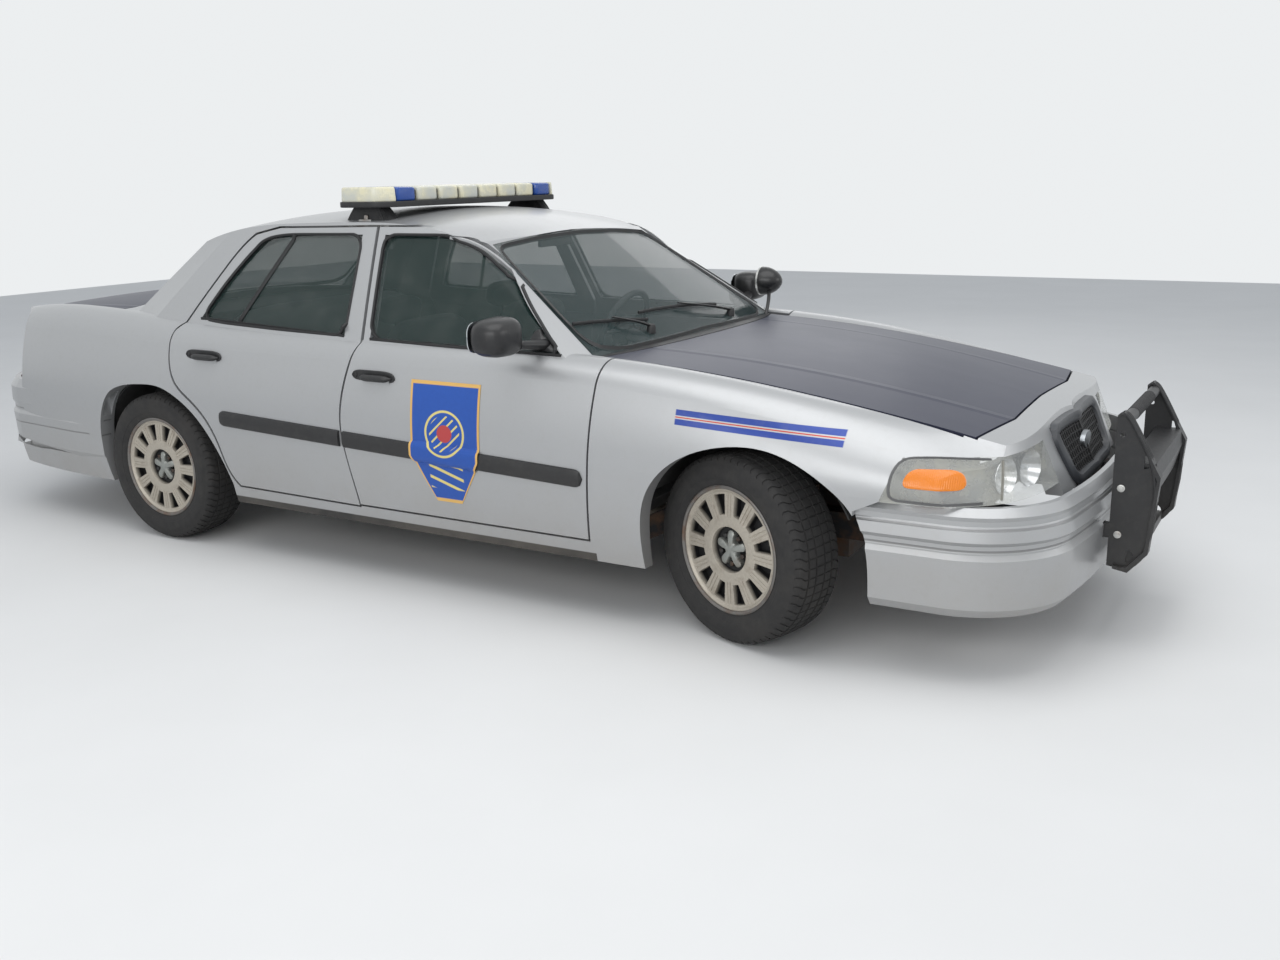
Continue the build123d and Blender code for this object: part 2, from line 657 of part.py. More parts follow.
with BuildPart() as wheel_liners:
    for station, near, far in ((0, 488, 1000), (-wheelbase, 690, 1000)):
        with BuildSketch(side_plane.offset(-near)):
            with Locations((station, axle_z)):
                Circle(416)
                Circle(410, mode=Mode.SUBTRACT)
        extrude(amount=near - far)
        with BuildSketch(side_plane.offset(-near)):
            with Locations((station, axle_z)):
                Circle(412)
        extrude(amount=-4)
    add(box_block(-430, 430, 480, 1000, -100, 500) + box_block(-3400, -2450, 600, 1000, -100, 330), mode=Mode.SUBTRACT)
    add(box_block(-3400, -2450, 680, 700, -100, 480), mode=Mode.SUBTRACT)
    add(inner_half.part, mode=Mode.INTERSECT)
    for cut in (hood_room, rear_door_room, front_bumper_ring, rear_bumper_ring):
        add(cut, mode=Mode.SUBTRACT)
    mirror(about=Plane.XZ)
finish(wheel_liners, "wheel_liners")

with BuildPart() as rear_axle:
    with BuildSketch(Plane.XZ):
        with Locations((rear_axle_x, axle_z)):
            Circle(36)
    extrude(amount=780, both=True)
    with BuildSketch(Plane.XZ):
        with Locations((rear_axle_x, axle_z)):
            Circle(20)
    extrude(amount=track_rear / 2 + 40, both=True)
    with Locations((rear_axle_x, 0, axle_z)):
        Sphere(120)
    with Locations((rear_axle_x, 540, 412), (rear_axle_x, -540, 412)):
        Cylinder(55, 80)
    for y in (540, -540):
        with BuildSketch(Plane.XZ.offset(-y - 15)):
            Polygon((rear_axle_x - 30, 316), (rear_axle_x + 30, 316), (rear_axle_x + 380, 296), (rear_axle_x + 390, 330),
                    (rear_axle_x + 440, 330), (rear_axle_x + 440, 240), (rear_axle_x - 30, 270), align=None)
        extrude(amount=30)
    add(chassis_frame.part, mode=Mode.SUBTRACT)
finish(rear_axle, "rear_axle")

with BuildPart() as engine_block:
    add(box_block(-440, 380, -300, 300, 310, 800))
finish(engine_block, "engine_block")

with BuildPart() as exhaust:
    with BuildLine() as pipe_line:
        Polyline((front_axle_x - 450, -180, 300), (front_axle_x - 700, -200, 222), (front_axle_x - 2420, -200, 222),
                 (front_axle_x - 2700, -260, 440), (front_axle_x - 3120, -260, 440), (front_axle_x - 3400, -430, 290),
                 (front_axle_x - 4285, -430, 290))
    with BuildSketch(Plane(origin=pipe_line.line @ 0, z_dir=pipe_line.line % 0)):
        Circle(30)
    sweep(transition=Transition.ROUND)
    with Locations((front_axle_x - 1650, -200, 212)):
        Box(520, 240, 88)
    add(floor_pan.part, mode=Mode.SUBTRACT)
finish(exhaust, "exhaust")

# cabin
with BuildPart() as dashboard:
    with BuildSketch(side_plane.offset(-820)):
        Polygon((-470, 880), (-860, 905), (-930, 870), (-915, 780), (-830, 640), (-600, 600), (-470, 640), align=None)
    extrude(amount=1640)
    add(floor_pan.part, mode=Mode.SUBTRACT)
    add(outer_half.part - inner_half.part, mode=Mode.SUBTRACT)
finish(dashboard, "dashboard")
with BuildPart() as front_seats:
    for y in (-390, 390):
        with BuildSketch(side_plane.offset(-y - 265)):
            with BuildLine():
                Polyline((-1230, 330), (-1250, 470), (-1680, 440), (-1850, 940), (-1880, 960), (-1890, 1090), (-1960, 1090),
                         (-1970, 950), (-1950, 900), (-1830, 420), (-1780, 268), (-1320, 268), (-1320, 320), (-1230, 330))
            make_face()
        extrude(amount=530)
finish(front_seats, "front_seats")
with BuildPart() as rear_seat:
    with BuildSketch(side_plane.offset(-660)):
        with BuildLine():
            Polyline((-2250, 436), (-2240, 560), (-2640, 590), (-2860, 990), (-2975, 985), (-2790, 575), (-2700, 575),
                     (-2600, 476), (-2400, 436), (-2250, 436))
        make_face()
    extrude(amount=1320)
    add(floor_pan.part, mode=Mode.SUBTRACT)
finish(rear_seat, "rear_seat")

wheel_middle = Vector(front_axle_x - 1220, 380, 890)
column_way = Vector(math.cos(math.radians(22)), 0, -math.sin(math.radians(22)))
with BuildPart() as steering_wheel:
    with BuildSketch(Plane(origin=wheel_middle, z_dir=column_way)):
        Circle(45)
    extrude(amount=40)
    with BuildSketch(Plane(origin=wheel_middle, x_dir=(0, 1, 0), z_dir=column_way)):
        Rectangle(376, 44)
    extrude(amount=14)
    with Locations(Plane(origin=wheel_middle, z_dir=column_way)):
        Torus(190, 14)
finish(steering_wheel, "steering_wheel")
with BuildPart() as steering_column:
    with BuildSketch(Plane(origin=wheel_middle + column_way * (40 + bearing_gap), z_dir=column_way)):
        Circle(32)
    extrude(amount=320)
    add(dashboard.part, mode=Mode.SUBTRACT)
column = steering_column.part.solids().sort_by(Axis.X)[0]
with BuildPart() as steering_column:
    add(column)
finish(steering_column, "steering_column")

with BuildPart() as inner_mirror:
    with Locations((front_axle_x - 1330, 0, 1330)):
        Box(16, 240, 60)
    mirror_stem = box_block(-1338, -1322, 0, 12, 1340, 1450) & inner_half.part
    add(mirror_stem)
    add(mirror_stem.mirror(Plane.XZ))
finish(inner_mirror, "inner_mirror")

# door trim: moulding, handle and, on the front doors, the outside mirror
for side in ("left", "right"):
    for place, block, room, handle_s, handle_z, mould_front, mould_rear in (
        ("front", front_door_block, rear_door_room, -1560, 852, -583, -1725),
        ("rear", rear_door_block, None, -2511, 876, -1738, -2441),
    ):
        with BuildPart() as trim:
            with BuildPart(mode=Mode.PRIVATE) as moulding:
                add(lower_half(-14, 0, 100))
                add(side_block([[(-500, 516), (-2500, 568)], [(-2500, 568), (-2500, 628)], [(-2500, 628), (-500, 580)],
                                [(-500, 580), (-500, 516)]]), mode=Mode.INTERSECT)
                add(block, mode=Mode.INTERSECT)
                add(lower_body, mode=Mode.SUBTRACT)
                if room:
                    add(room, mode=Mode.SUBTRACT)
                add(rear_arch_block, mode=Mode.SUBTRACT)
            add(moulding.part)
            with BuildPart(mode=Mode.PRIVATE) as handle:
                add(lower_half(-22, 0, 100))
                add(box_block(handle_s - 110, handle_s + 60, 700, 1200, handle_z - 18, handle_z + 18), mode=Mode.INTERSECT)
                add(lower_body, mode=Mode.SUBTRACT)
            add(handle.part)
            if place == "front":
                with BuildPart(mode=Mode.PRIVATE) as mirror_body:
                    with BuildSketch(side_plane.offset(-960)):
                        with Locations((-880, 1050)):
                            RectangleRounded(150, 145, 40)
                    extrude(amount=-190)
                    with BuildSketch(plan_plane(972)):
                        Polygon((-772, 800), (-716, 800), (-800, 985), (-880, 985), align=None)
                    extrude(amount=36)
                    add(outer_half.part, mode=Mode.SUBTRACT)
                add(mirror_body.part.solids().sort_by(Axis.Y)[-1])
            if side == "right":
                mirror(about=Plane.XZ, mode=Mode.REPLACE)
        finish(trim, f"{place}_{side}_trim")

# push bumper: two upright plates with a tube and a channel between them
plate_outline = chain((1090, 804), (1110, 822), (1139, 793), (1239, 611), (1219, 348), (1160, 277), (1090, 289))
pad_inner = grown(plate_outline, (1150, 550), -11)
channel_outline = chain((1132, 652), (1220, 652), (1229, 600), (1208, 512), (1196, 512), (1214, 600), (1208, 640), (1132, 640))
with BuildPart() as push_bumper:
    with BuildSketch(side_plane.offset(-plate_y + pad_half)):
        with BuildLine():
            trace(plate_outline)
        make_face()
        with BuildLine():
            trace(pad_inner)
        make_face(mode=Mode.SUBTRACT)
    extrude(amount=-2 * pad_half)
    add(box_block(1000, 1112, 200, 450, 200, 900), mode=Mode.SUBTRACT)
    with BuildSketch(side_plane.offset(-plate_y + plate_thick / 2)):
        with BuildLine():
            trace(plate_outline)
        make_face()
        with Locations((1110, 741)):
            Circle(8.5, mode=Mode.SUBTRACT)
        for s, z in ((1186, 655), (1152, 330)):
            with Locations((s, z)):
                Circle(22, mode=Mode.SUBTRACT)
            with Locations((s - 14, z)):
                Rectangle(24, 50)
    extrude(amount=-plate_thick)
    with BuildSketch(side_plane):
        with Locations((1116, 786)):
            Circle(20)
    extrude(amount=-plate_y)
    with BuildSketch(side_plane):
        with BuildLine():
            trace(channel_outline)
        make_face()
    extrude(amount=-plate_y)
    add(box_block(1100, 1180, 0, plate_y, 300, 330))
    add(box_block(1000, 1100, plate_y - 25, plate_y + 5, 386, 434))
    mirror(about=Plane.XZ)
finish(push_bumper, "push_bumper")

# light bar
bar_s = -1866
with BuildPart() as light_bar_base:
    with BuildSketch(plan_plane(1484)):
        with Locations((bar_s, 0)):
            RectangleRounded(290, 1400, 60)
    extrude(amount=22)
    for y in (-560, 560):
        with BuildPart(mode=Mode.PRIVATE) as foot:
            add(box_block(bar_s - 160, bar_s + 150, y - 40, y + 40, 1400, 1486))
            add(outer_half.part, mode=Mode.SUBTRACT)
            add(outer_half.part.mirror(Plane.XZ), mode=Mode.SUBTRACT)
        add(foot.part)
finish(light_bar_base, "light_bar_base")
with BuildPart() as light_bar_clear:
    for y0, y1 in ((-700, -566), (-425, -288), (-282, -145), (-139, -3), (3, 139), (145, 282), (288, 425), (566, 700)):
        add(box_block(bar_s - 140, bar_s + 140, y0, y1, 1506, 1566))
finish(light_bar_clear, "light_bar_clear_lenses")
with BuildPart() as light_bar_blue:
    for y0, y1 in ((-560, -431), (431, 560)):
        add(box_block(bar_s - 140, bar_s + 140, y0, y1, 1506, 1566))
finish(light_bar_blue, "light_bar_blue_lenses")

with BuildPart() as spotlight:
    with BuildSketch(cross_plane(-740)):
        with Locations((866, 1092)):
            Circle(66)
    extrude(amount=105)
    stem_start = Vector(front_axle_x - 650, 722, 945)
    stem_end = Vector(front_axle_x - 690, 856, 1085)
    with BuildSketch(Plane(origin=stem_start, z_dir=stem_end - stem_start)):
        Circle(9)
    extrude(amount=(stem_end - stem_start).length)
    add(outer_half.part, mode=Mode.SUBTRACT)
finish(spotlight, "spotlight")
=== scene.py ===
"""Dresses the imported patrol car: paint, glass, tyres, lamps, cabin and the studio it stands in."""

import bpy
import numpy as np
from mathutils import Matrix, Vector
from mathutils.bvhtree import BVHTree


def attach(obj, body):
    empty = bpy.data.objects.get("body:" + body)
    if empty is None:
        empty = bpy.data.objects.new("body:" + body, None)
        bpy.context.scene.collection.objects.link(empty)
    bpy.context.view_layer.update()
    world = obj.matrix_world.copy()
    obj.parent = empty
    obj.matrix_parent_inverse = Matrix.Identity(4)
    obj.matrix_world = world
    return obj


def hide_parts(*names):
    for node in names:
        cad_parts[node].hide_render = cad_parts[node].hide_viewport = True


bl_info = {
    "name": "Patrol car dresser",
    "version": (1, 0, 0),
    "blender": (4, 5, 0),
    "location": "3D View > Sidebar > Patrol Car",
    "description": "Adds finishes and fine pieces to a four-door patrol car",
    "category": "Object",
}

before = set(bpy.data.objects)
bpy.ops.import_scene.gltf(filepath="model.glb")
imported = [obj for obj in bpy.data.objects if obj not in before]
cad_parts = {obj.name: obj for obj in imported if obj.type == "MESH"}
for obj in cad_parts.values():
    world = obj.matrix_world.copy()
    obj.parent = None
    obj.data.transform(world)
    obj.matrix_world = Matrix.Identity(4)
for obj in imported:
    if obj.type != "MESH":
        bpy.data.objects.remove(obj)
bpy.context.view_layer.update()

# metres in the frame: x ahead, y to the left, z up. s is the same as x, in millimetres ahead of the front axle
AXLE = 1.53
WHEELBASE = 2.913
WHEEL_RADIUS = 0.338
REST_STEER = -18.8
# each wheel: its centre, its steering angle at rest in degrees, and the side of the car it is on
WHEELS = {
    "front_left": ((AXLE + 0.02095, 0.80153, WHEEL_RADIUS), REST_STEER, 1),
    "front_right": ((AXLE - 0.02095, -0.80153, WHEEL_RADIUS), REST_STEER, -1),
    "rear_left": ((AXLE - WHEELBASE, 0.833, WHEEL_RADIUS), 0.0, 1),
    "rear_right": ((AXLE - WHEELBASE, -0.833, WHEEL_RADIUS), 0.0, -1),
}
PHOTO_WIDTH = 1280
SENSOR = 36.0
FULL_TURN = 2 * np.pi


def at(s, y, z):
    """A point given in millimetres ahead of the front axle, to the left and up, in metres of the frame."""
    return np.array([AXLE + s / 1000, y / 1000, z / 1000])


# ---- shader expressions


class Socket:
    """One output of a node. Arithmetic on it adds Math nodes to the same tree."""

    def __init__(self, tree, output):
        self.tree = tree
        self.output = output

    def _math(self, operation, other=None, swap=False, clamp=False):
        first, second = (other, self) if swap else (self, other)
        return self.tree.node("ShaderNodeMath", {"operation": operation, "use_clamp": clamp}, i0=first, i1=second)

    def __add__(self, other):
        return self._math("ADD", other)

    __radd__ = __add__

    def __sub__(self, other):
        return self._math("SUBTRACT", other)

    def __rsub__(self, other):
        return self._math("SUBTRACT", other, swap=True)

    def __mul__(self, other):
        return self._math("MULTIPLY", other)

    __rmul__ = __mul__

    def __truediv__(self, other):
        return self._math("DIVIDE", other)

    def __rtruediv__(self, other):
        return self._math("DIVIDE", other, swap=True)

    def __neg__(self):
        return self._math("MULTIPLY", -1.0)

    def __pow__(self, other):
        return self._math("POWER", other)

    def magnitude(self):
        return self._math("ABSOLUTE")

    def most(self, other):
        return self._math("MAXIMUM", other)

    def sine(self):
        return self._math("SINE")

    def part(self):
        return self._math("FRACT")

    def clamped(self):
        return self._math("ADD", 0.0, clamp=True)


class Tree:
    """A node tree to which nodes are added by type, settings and sockets."""

    def __init__(self, tree):
        self.tree = tree

    def feed(self, target, value):
        """Links a socket, or sets a value, with one number spread over a vector and a colour made opaque."""
        if isinstance(value, Socket):
            self.tree.links.new(value.output, target)
        elif value is not None:
            if hasattr(target.default_value, "__len__") and len(target.default_value) == 4 and len(value) == 3:
                value = (*value, 1.0)
            target.default_value = value

    def node(self, kind, settings=None, output=0, **sockets):
        """Any node: its type, the settings made first, then its sockets by name, or by number after an i."""
        node = self.tree.nodes.new(kind)
        for key, value in (settings or {}).items():
            setattr(node, key, value)
        for key, value in sockets.items():
            numbered = key[0] == "i" and key[1:].isdigit()
            self.feed(node.inputs[int(key[1:]) if numbered else key.replace("_", " ")], value)
        return Socket(self, node.outputs[output]) if len(node.outputs) else None


class Shader(Tree):
    """A material whose pattern is written as expressions on the piece's own coordinates."""

    def __init__(self, name, **constants):
        self.material = bpy.data.materials.new(name)
        self.material.use_nodes = True
        super().__init__(self.material.node_tree)
        self.wear(**constants)

    def wear(self, **links):
        surface = self.tree.nodes["Principled BSDF"]
        for key, value in links.items():
            self.feed(surface.inputs[key.replace("_", " ")], value)
        return self.material

    def place(self):
        return self.node("ShaderNodeTexCoord", output="Object")

    def axes(self):
        first = self.node("ShaderNodeSeparateXYZ", i0=self.place())
        return [Socket(self, out) for out in first.output.node.outputs]

    def noise(self, scale, detail=4.0, rough=0.55):
        return self.node("ShaderNodeTexNoise", Vector=self.place(), Scale=scale, Detail=detail, Roughness=rough)

    def flakes(self):
        """The metal flakes of a paint, as cells of about a millimetre."""
        return self.step(self.node("ShaderNodeTexVoronoi", Vector=self.place(), Scale=900.0), 0.1, 0.9)

    def mix(self, factor, low, high):
        return self.node("ShaderNodeMix", {"data_type": "RGBA"}, 2, i0=factor, i6=low, i7=high)

    def step(self, value, low, high):
        """0 below low, 1 above high and a straight line between them."""
        return self.node("ShaderNodeMapRange", i0=value, i1=low, i2=high)

    def bump(self, height, strength=0.2, distance=0.001):
        return self.node("ShaderNodeBump", Height=height, Strength=strength, Distance=distance)


def inside(value, low, high, soft=0.0015):
    """1 where value lies between low and high, with edges that fade over soft."""
    return ((value - low) / soft).clamped() * ((high - value) / soft).clamped()


def toned(colour, factor, lift=0.0):
    """The colour made darker or lighter by a factor."""
    return [min(1, c * factor + lift) for c in colour]


def dusty(shader, colour, dirt=(0.33, 0.29, 0.24), amount=1.0):
    """The colour with road film low on the body and faint cloudy dust elsewhere, and the film's share."""
    low = shader.step(shader.axes()[2], 0.62, 0.2) * shader.step(shader.noise(2.2, 5.0), 0.3, 0.75)
    film = (low * 0.42 + shader.step(shader.noise(38.0, 3.0), 0.52, 0.8) * 0.07) * amount
    return shader.mix(film.clamped(), colour, dirt), film


def silver_paint(marks="plain"):
    """Silver flake under clear coat. marks adds fender bands, bumper grooves with painted shade in them, or the dark
    sill strip.
    """
    shader = Shader("silver_paint_" + marks, Metallic=0.55, Coat_Weight=0.3, Coat_Roughness=0.14)
    x, _, z = shader.axes()
    base = shader.mix(shader.flakes() * 0.25, (0.40, 0.405, 0.41), (0.54, 0.545, 0.55))
    height = shader.noise(420.0, 2.0) * 0.03
    if marks == "fender_bands":
        base = fender_bands(shader, base, x, z)
    if marks == "bumper":
        grooves_with_shade = inside(z, 0.452, 0.462, 0.003) + inside(z, 0.522, 0.532, 0.003)
        # painted shade: the groove bands darkened over their dent
        base = shader.mix(grooves_with_shade * 0.55, base, (0.10, 0.10, 0.10))
        height = height - grooves_with_shade * 3.0
    if marks == "sill":
        sill = inside(z, 0.0, 0.268, 0.004) * inside(x, AXLE - 2.46, AXLE - 0.45, 0.004)
        base = shader.mix(sill, base, (0.016, 0.016, 0.017))
    colour, film = dusty(shader, base)
    rough = 0.36 + film * 0.5 + shader.noise(6.0) * 0.06
    return shader.wear(Base_Color=colour, Roughness=rough, Normal=shader.bump(height, 0.6, 0.001))


def fender_bands(shader, base, x, z):
    """Two blue bands with a thin red line between them, falling slowly towards the nose."""
    along = inside(x, AXLE - 0.228, AXLE + 0.368, 0.004)
    rise = z + (x - AXLE) * 0.049 - 0.789
    blue = (inside(rise, 0.005, 0.026) + inside(rise, -0.026, -0.005)).clamped() * along
    base = shader.mix(blue, base, (0.02, 0.05, 0.26))
    return shader.mix(inside(rise, -0.0022, 0.0022, 0.0006) * along, base, (0.45, 0.05, 0.03))


# the emblem's sheet: its middle and half sizes in millimetres, and how fast it narrows below a quarter of its height
EMBLEM_S, EMBLEM_Z, EMBLEM_WIDE, EMBLEM_TALL, EMBLEM_TAPER = -1205, 620, 165, 233, 0.85


def emblem_finish():
    """Blue vinyl with a pale gold edge, a barred ring round a red disc, and slanted bars below."""
    shader = Shader("door_emblem_vinyl")
    x, _, z = shader.axes()
    u = (x - (AXLE + EMBLEM_S / 1000)) / (EMBLEM_WIDE / 1000)
    v = (z - EMBLEM_Z / 1000) / (EMBLEM_TALL / 1000)
    taper = 1.0 - (((-v) - 0.25).most(0.0)) * EMBLEM_TAPER
    edge = (((u.magnitude() / taper).most(v.magnitude()) - 0.935) / 0.012).clamped()
    radius = ((u * u) * 0.445 + (v - 0.16) * (v - 0.16)) ** 0.5
    ring = inside(radius, 0.34, 0.39, 0.012)
    spokes = inside(((v * 1.1 - u * 0.7) * 5.5).part(), 0.30, 0.60, 0.05) * ((0.30 - radius) / 0.012).clamped()
    bars = inside(((v + u * 0.22) * 5.2).part(), 0.30, 0.62, 0.05)
    bars = bars * inside(v, -0.78, -0.36, 0.02) * inside(u, -0.50, 0.50, 0.03)
    worn = shader.noise(60.0, 3.0)
    base = shader.mix(worn, (0.010, 0.068, 0.34), (0.014, 0.085, 0.40))
    base = shader.mix(edge, base, (0.70, 0.42, 0.12))
    base = shader.mix((ring + bars + spokes).clamped(), base, (0.72, 0.60, 0.20))
    base = shader.mix(((0.15 - radius) / 0.012).clamped(), base, (0.45, 0.05, 0.05))
    return shader.wear(Base_Color=base, Roughness=0.35 + worn * 0.1)


def navy_paint():
    """Dark blue flake, with a bump along the two creases that run the length of the hood."""
    shader = Shader("navy_paint", Metallic=0.2, Coat_Weight=0.25, Coat_Roughness=0.3)
    base = shader.mix(shader.flakes() * 0.3, (0.010, 0.013, 0.035), (0.022, 0.028, 0.065))
    colour, film = dusty(shader, base, (0.22, 0.21, 0.20), 0.7)
    x, y, _ = shader.axes()
    crease = (1.0 - (y.magnitude() - (0.50 - (x - 0.9) * 0.05)).magnitude() / 0.03).clamped()
    rough = 0.42 + film * 0.5 + shader.noise(5.0) * 0.08
    height = crease * 6.0 + shader.noise(420.0, 2.0) * 0.03
    return shader.wear(Base_Color=colour, Roughness=rough, Normal=shader.bump(height, 0.7, 0.001))


def plastic(name, colour, rough=0.5, grain=260.0, dirt=0.5):
    """Mottled, slightly grained plastic or rubber under a little road film."""
    shader = Shader(name)
    mottled = shader.mix(shader.noise(24.0), toned(colour, 0.75), toned(colour, 1.3, 0.004))
    dirtied, film = dusty(shader, mottled, (0.30, 0.27, 0.23), dirt)
    return shader.wear(Base_Color=dirtied, Roughness=rough + film * 0.3 + shader.noise(60.0) * 0.12,
                       Normal=shader.bump(shader.noise(grain, 3.0), 0.25, 0.0006))


def metal(name, colour, rough=0.35, rust=0.0, metallic=0.9):
    """Bare or painted metal whose brown spots spread as rust grows from 0 to 1."""
    shader = Shader(name, Metallic=metallic)
    spots = shader.step(shader.noise(14.0, 6.0, 0.65), 0.62 - rust * 0.3, 0.72)
    base = shader.mix(shader.noise(50.0), toned(colour, 0.85), toned(colour, 1.12))
    base = shader.mix(spots * min(1.0, rust * 1.5 + 0.12), base, (0.16, 0.085, 0.045))
    return shader.wear(Base_Color=base, Roughness=rough + shader.noise(35.0) * 0.2,
                       Normal=shader.bump(shader.noise(180.0, 3.0), 0.15, 0.0005))


def glass(name, tint, alpha):
    """A thin tinted pane, seen through where alpha is low, with a faint film of dust."""
    shader = Shader(name, Specular_IOR_Level=0.6)
    dust = shader.step(shader.noise(9.0, 5.0), 0.45, 0.85)
    return shader.wear(Base_Color=shader.mix(dust * 0.06, tint, (0.62, 0.60, 0.55)), Alpha=alpha + dust * 0.03,
                       Roughness=0.04 + dust * 0.06)


def ribbed_lens(name, tint, alpha, pitch=0.008, axis=1, yellow=0.0):
    """A moulded lens: fine ribs across one axis and a patchy aged surface."""
    shader = Shader(name, Specular_IOR_Level=0.6)
    ribs = (shader.axes()[axis] * (FULL_TURN / pitch)).sine()
    age = shader.step(shader.noise(11.0, 5.0, 0.6), 0.35, 0.7)
    base = shader.mix(age * yellow, tint, (0.78, 0.70, 0.42))
    return shader.wear(Base_Color=base, Alpha=alpha + age * 0.12, Roughness=0.12 + age * 0.25,
                       Normal=shader.bump(ribs, 0.35, 0.0008))


def tyre_rubber():
    """Faded rubber with dry dust in patches."""
    shader = Shader("tyre_rubber_worn")
    grey = shader.mix(shader.noise(30.0, 5.0), (0.012, 0.012, 0.013), (0.036, 0.034, 0.032))
    base = shader.mix(shader.step(shader.noise(5.0), 0.5, 0.9) * 0.25, grey, (0.10, 0.088, 0.074))
    return shader.wear(Base_Color=base, Roughness=0.78 + shader.noise(90.0) * 0.15,
                       Normal=shader.bump(shader.noise(500.0, 2.0), 0.3, 0.0004))


def cloth(name, colour, pitch=0.004):
    """A plain weave: two crossed waves on the piece's own coordinates."""
    shader = Shader(name, Sheen_Weight=0.25)
    x, y, z = shader.axes()
    weave = ((x + z) * (FULL_TURN / pitch)).sine() * (y * (FULL_TURN / pitch)).sine()
    base = shader.mix(shader.step(weave, -1.0, 1.0), toned(colour, 0.7), toned(colour, 1.25))
    base = shader.mix(shader.noise(7.0) * 0.3, base, toned(colour, 0.6))
    rough = 0.9 - shader.noise(20.0) * 0.1
    return shader.wear(Base_Color=base, Roughness=rough, Normal=shader.bump(weave, 0.35, 0.0008))


def mirror_metal(name, low, high, scale, rough, spread, cloud):
    """Bright silvering between two tones, a little blurred in clouds."""
    shader = Shader(name, Metallic=1.0)
    tone = shader.mix(shader.noise(scale), low, high)
    return shader.wear(Base_Color=tone, Roughness=rough + shader.noise(cloud) * spread)


def bulb_glass():
    """Frosted pale glass with faint mottling."""
    shader = Shader("bulb_glass")
    tone = shader.mix(shader.noise(80.0), (0.55, 0.58, 0.60), (0.80, 0.82, 0.84))
    return shader.wear(Base_Color=tone, Roughness=0.15 + shader.noise(40.0) * 0.1)


def floor_finish():
    """Plain pale floor paint with broad faint clouds."""
    shader = Shader("studio_floor")
    tone = shader.mix(shader.noise(1.2, 3.0), (0.74, 0.735, 0.72), (0.80, 0.795, 0.78))
    return shader.wear(Base_Color=tone, Roughness=0.75 + shader.noise(8.0) * 0.1)


def cover_metal():
    """Aged tan-silver paint on the wheel cover, with painted shade, near black, deep in its windows and round its
    middle under the star cap, from the depth attribute.
    """
    shader = Shader("wheel_cover_paint_and_shade", Metallic=0.45)
    depth = shader.node("ShaderNodeAttribute", {"attribute_name": "depth"}, output=2)
    speck = shader.noise(120.0, 4.0, 0.7)
    base = shader.mix(speck, (0.33, 0.295, 0.245), (0.56, 0.515, 0.44))
    base = shader.mix(shader.step(shader.noise(18.0), 0.55, 0.75) * 0.45, base, (0.20, 0.15, 0.105))
    # painted shade: near black where the cover lies deep, in its windows and at its middle under the star cap
    base = shader.mix(shader.step(depth, 0.004, 0.018), base, (0.018, 0.018, 0.019))
    return shader.wear(Base_Color=base, Roughness=0.42 + speck * 0.2, Normal=shader.bump(speck, 0.2, 0.0006))


# ---- surfaces worked out on grids


def unit(vectors):
    """The vectors over their lengths."""
    return vectors / np.linalg.norm(vectors, axis=-1, keepdims=True)


def turns(count):
    """Angles evenly round a circle."""
    return np.linspace(0, FULL_TURN, count, endpoint=False)


def sealed(points, quads):
    """One surface with its coincident points welded and its collapsed faces dropped. A closed one is turned outward,
    by the sign of the volume that its faces enclose. Returns the points, quads, triangles and points kept."""
    _, kept, index = np.unique(np.round(points, 6), axis=0, return_index=True, return_inverse=True)
    corners = index.reshape(-1)[quads]
    whole = corners != np.roll(corners, -1, axis=1)
    count = whole.sum(1)
    threes = corners[count == 3][whole[count == 3]].reshape(-1, 3)
    fours = corners[count == 4]
    points = points[kept]
    edges = np.concatenate([np.stack([f, np.roll(f, -1, axis=1)], -1).reshape(-1, 2) for f in (fours, threes)])
    shared = np.unique(np.sort(edges, axis=1), axis=0, return_counts=True)[1]
    fans = np.concatenate([fours[:, :3], fours[:, [0, 2, 3]], threes])
    a, b, c = np.moveaxis((points - points.mean(0))[fans], 1, 0)
    if (shared == 2).all() and (a * np.cross(b, c)).sum() < 0:
        fours, threes = fours[:, ::-1], threes[:, ::-1]
    return points, fours, threes, kept


def mesh_piece(name, parts, material, body, angle=0.6, depth=None):
    """One mesh from a list of (points, quads) surfaces, smoothed below an angle and riding on a body. depth gives
    the points of the first surface a number each, for its material."""
    vertices, faces, marks, offset = [], [], [], 0
    for points, quads in parts:
        points, fours, threes, kept = sealed(points, quads)
        vertices.append(points)
        marks.append(kept)
        faces += (fours + offset).tolist() + (threes + offset).tolist()
        offset += len(points)
    mesh = bpy.data.meshes.new(name)
    mesh.from_pydata(np.concatenate(vertices).tolist(), [], faces)
    if depth is not None:
        mark = mesh.attributes.new("depth", "FLOAT", "POINT")
        mark.data.foreach_set("value", np.ascontiguousarray(depth.ravel()[marks[0]], np.float32))
    mesh.shade_smooth()
    mesh.set_sharp_from_angle(angle=angle)
    piece = bpy.data.objects.new(name, mesh)
    bpy.context.scene.collection.objects.link(piece)
    mesh.materials.append(material)
    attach(piece, body)
    return piece


def grid(points, wrap_u=False, wrap_v=False, flip=False):
    """Quads over a rows by columns grid of points, joined round where wrap is set."""
    rows, columns = points.shape[:2]
    i = np.arange(rows if wrap_u else rows - 1)
    j = np.arange(columns if wrap_v else columns - 1)
    i, j = np.meshgrid(i, j, indexing="ij")
    below, beside = (i + 1) % rows, (j + 1) % columns
    quads = np.stack([i * columns + j, i * columns + beside, below * columns + beside, below * columns + j], -1)
    quads = quads.reshape(-1, 4)
    return points.reshape(-1, 3), quads[:, ::-1] if flip else quads


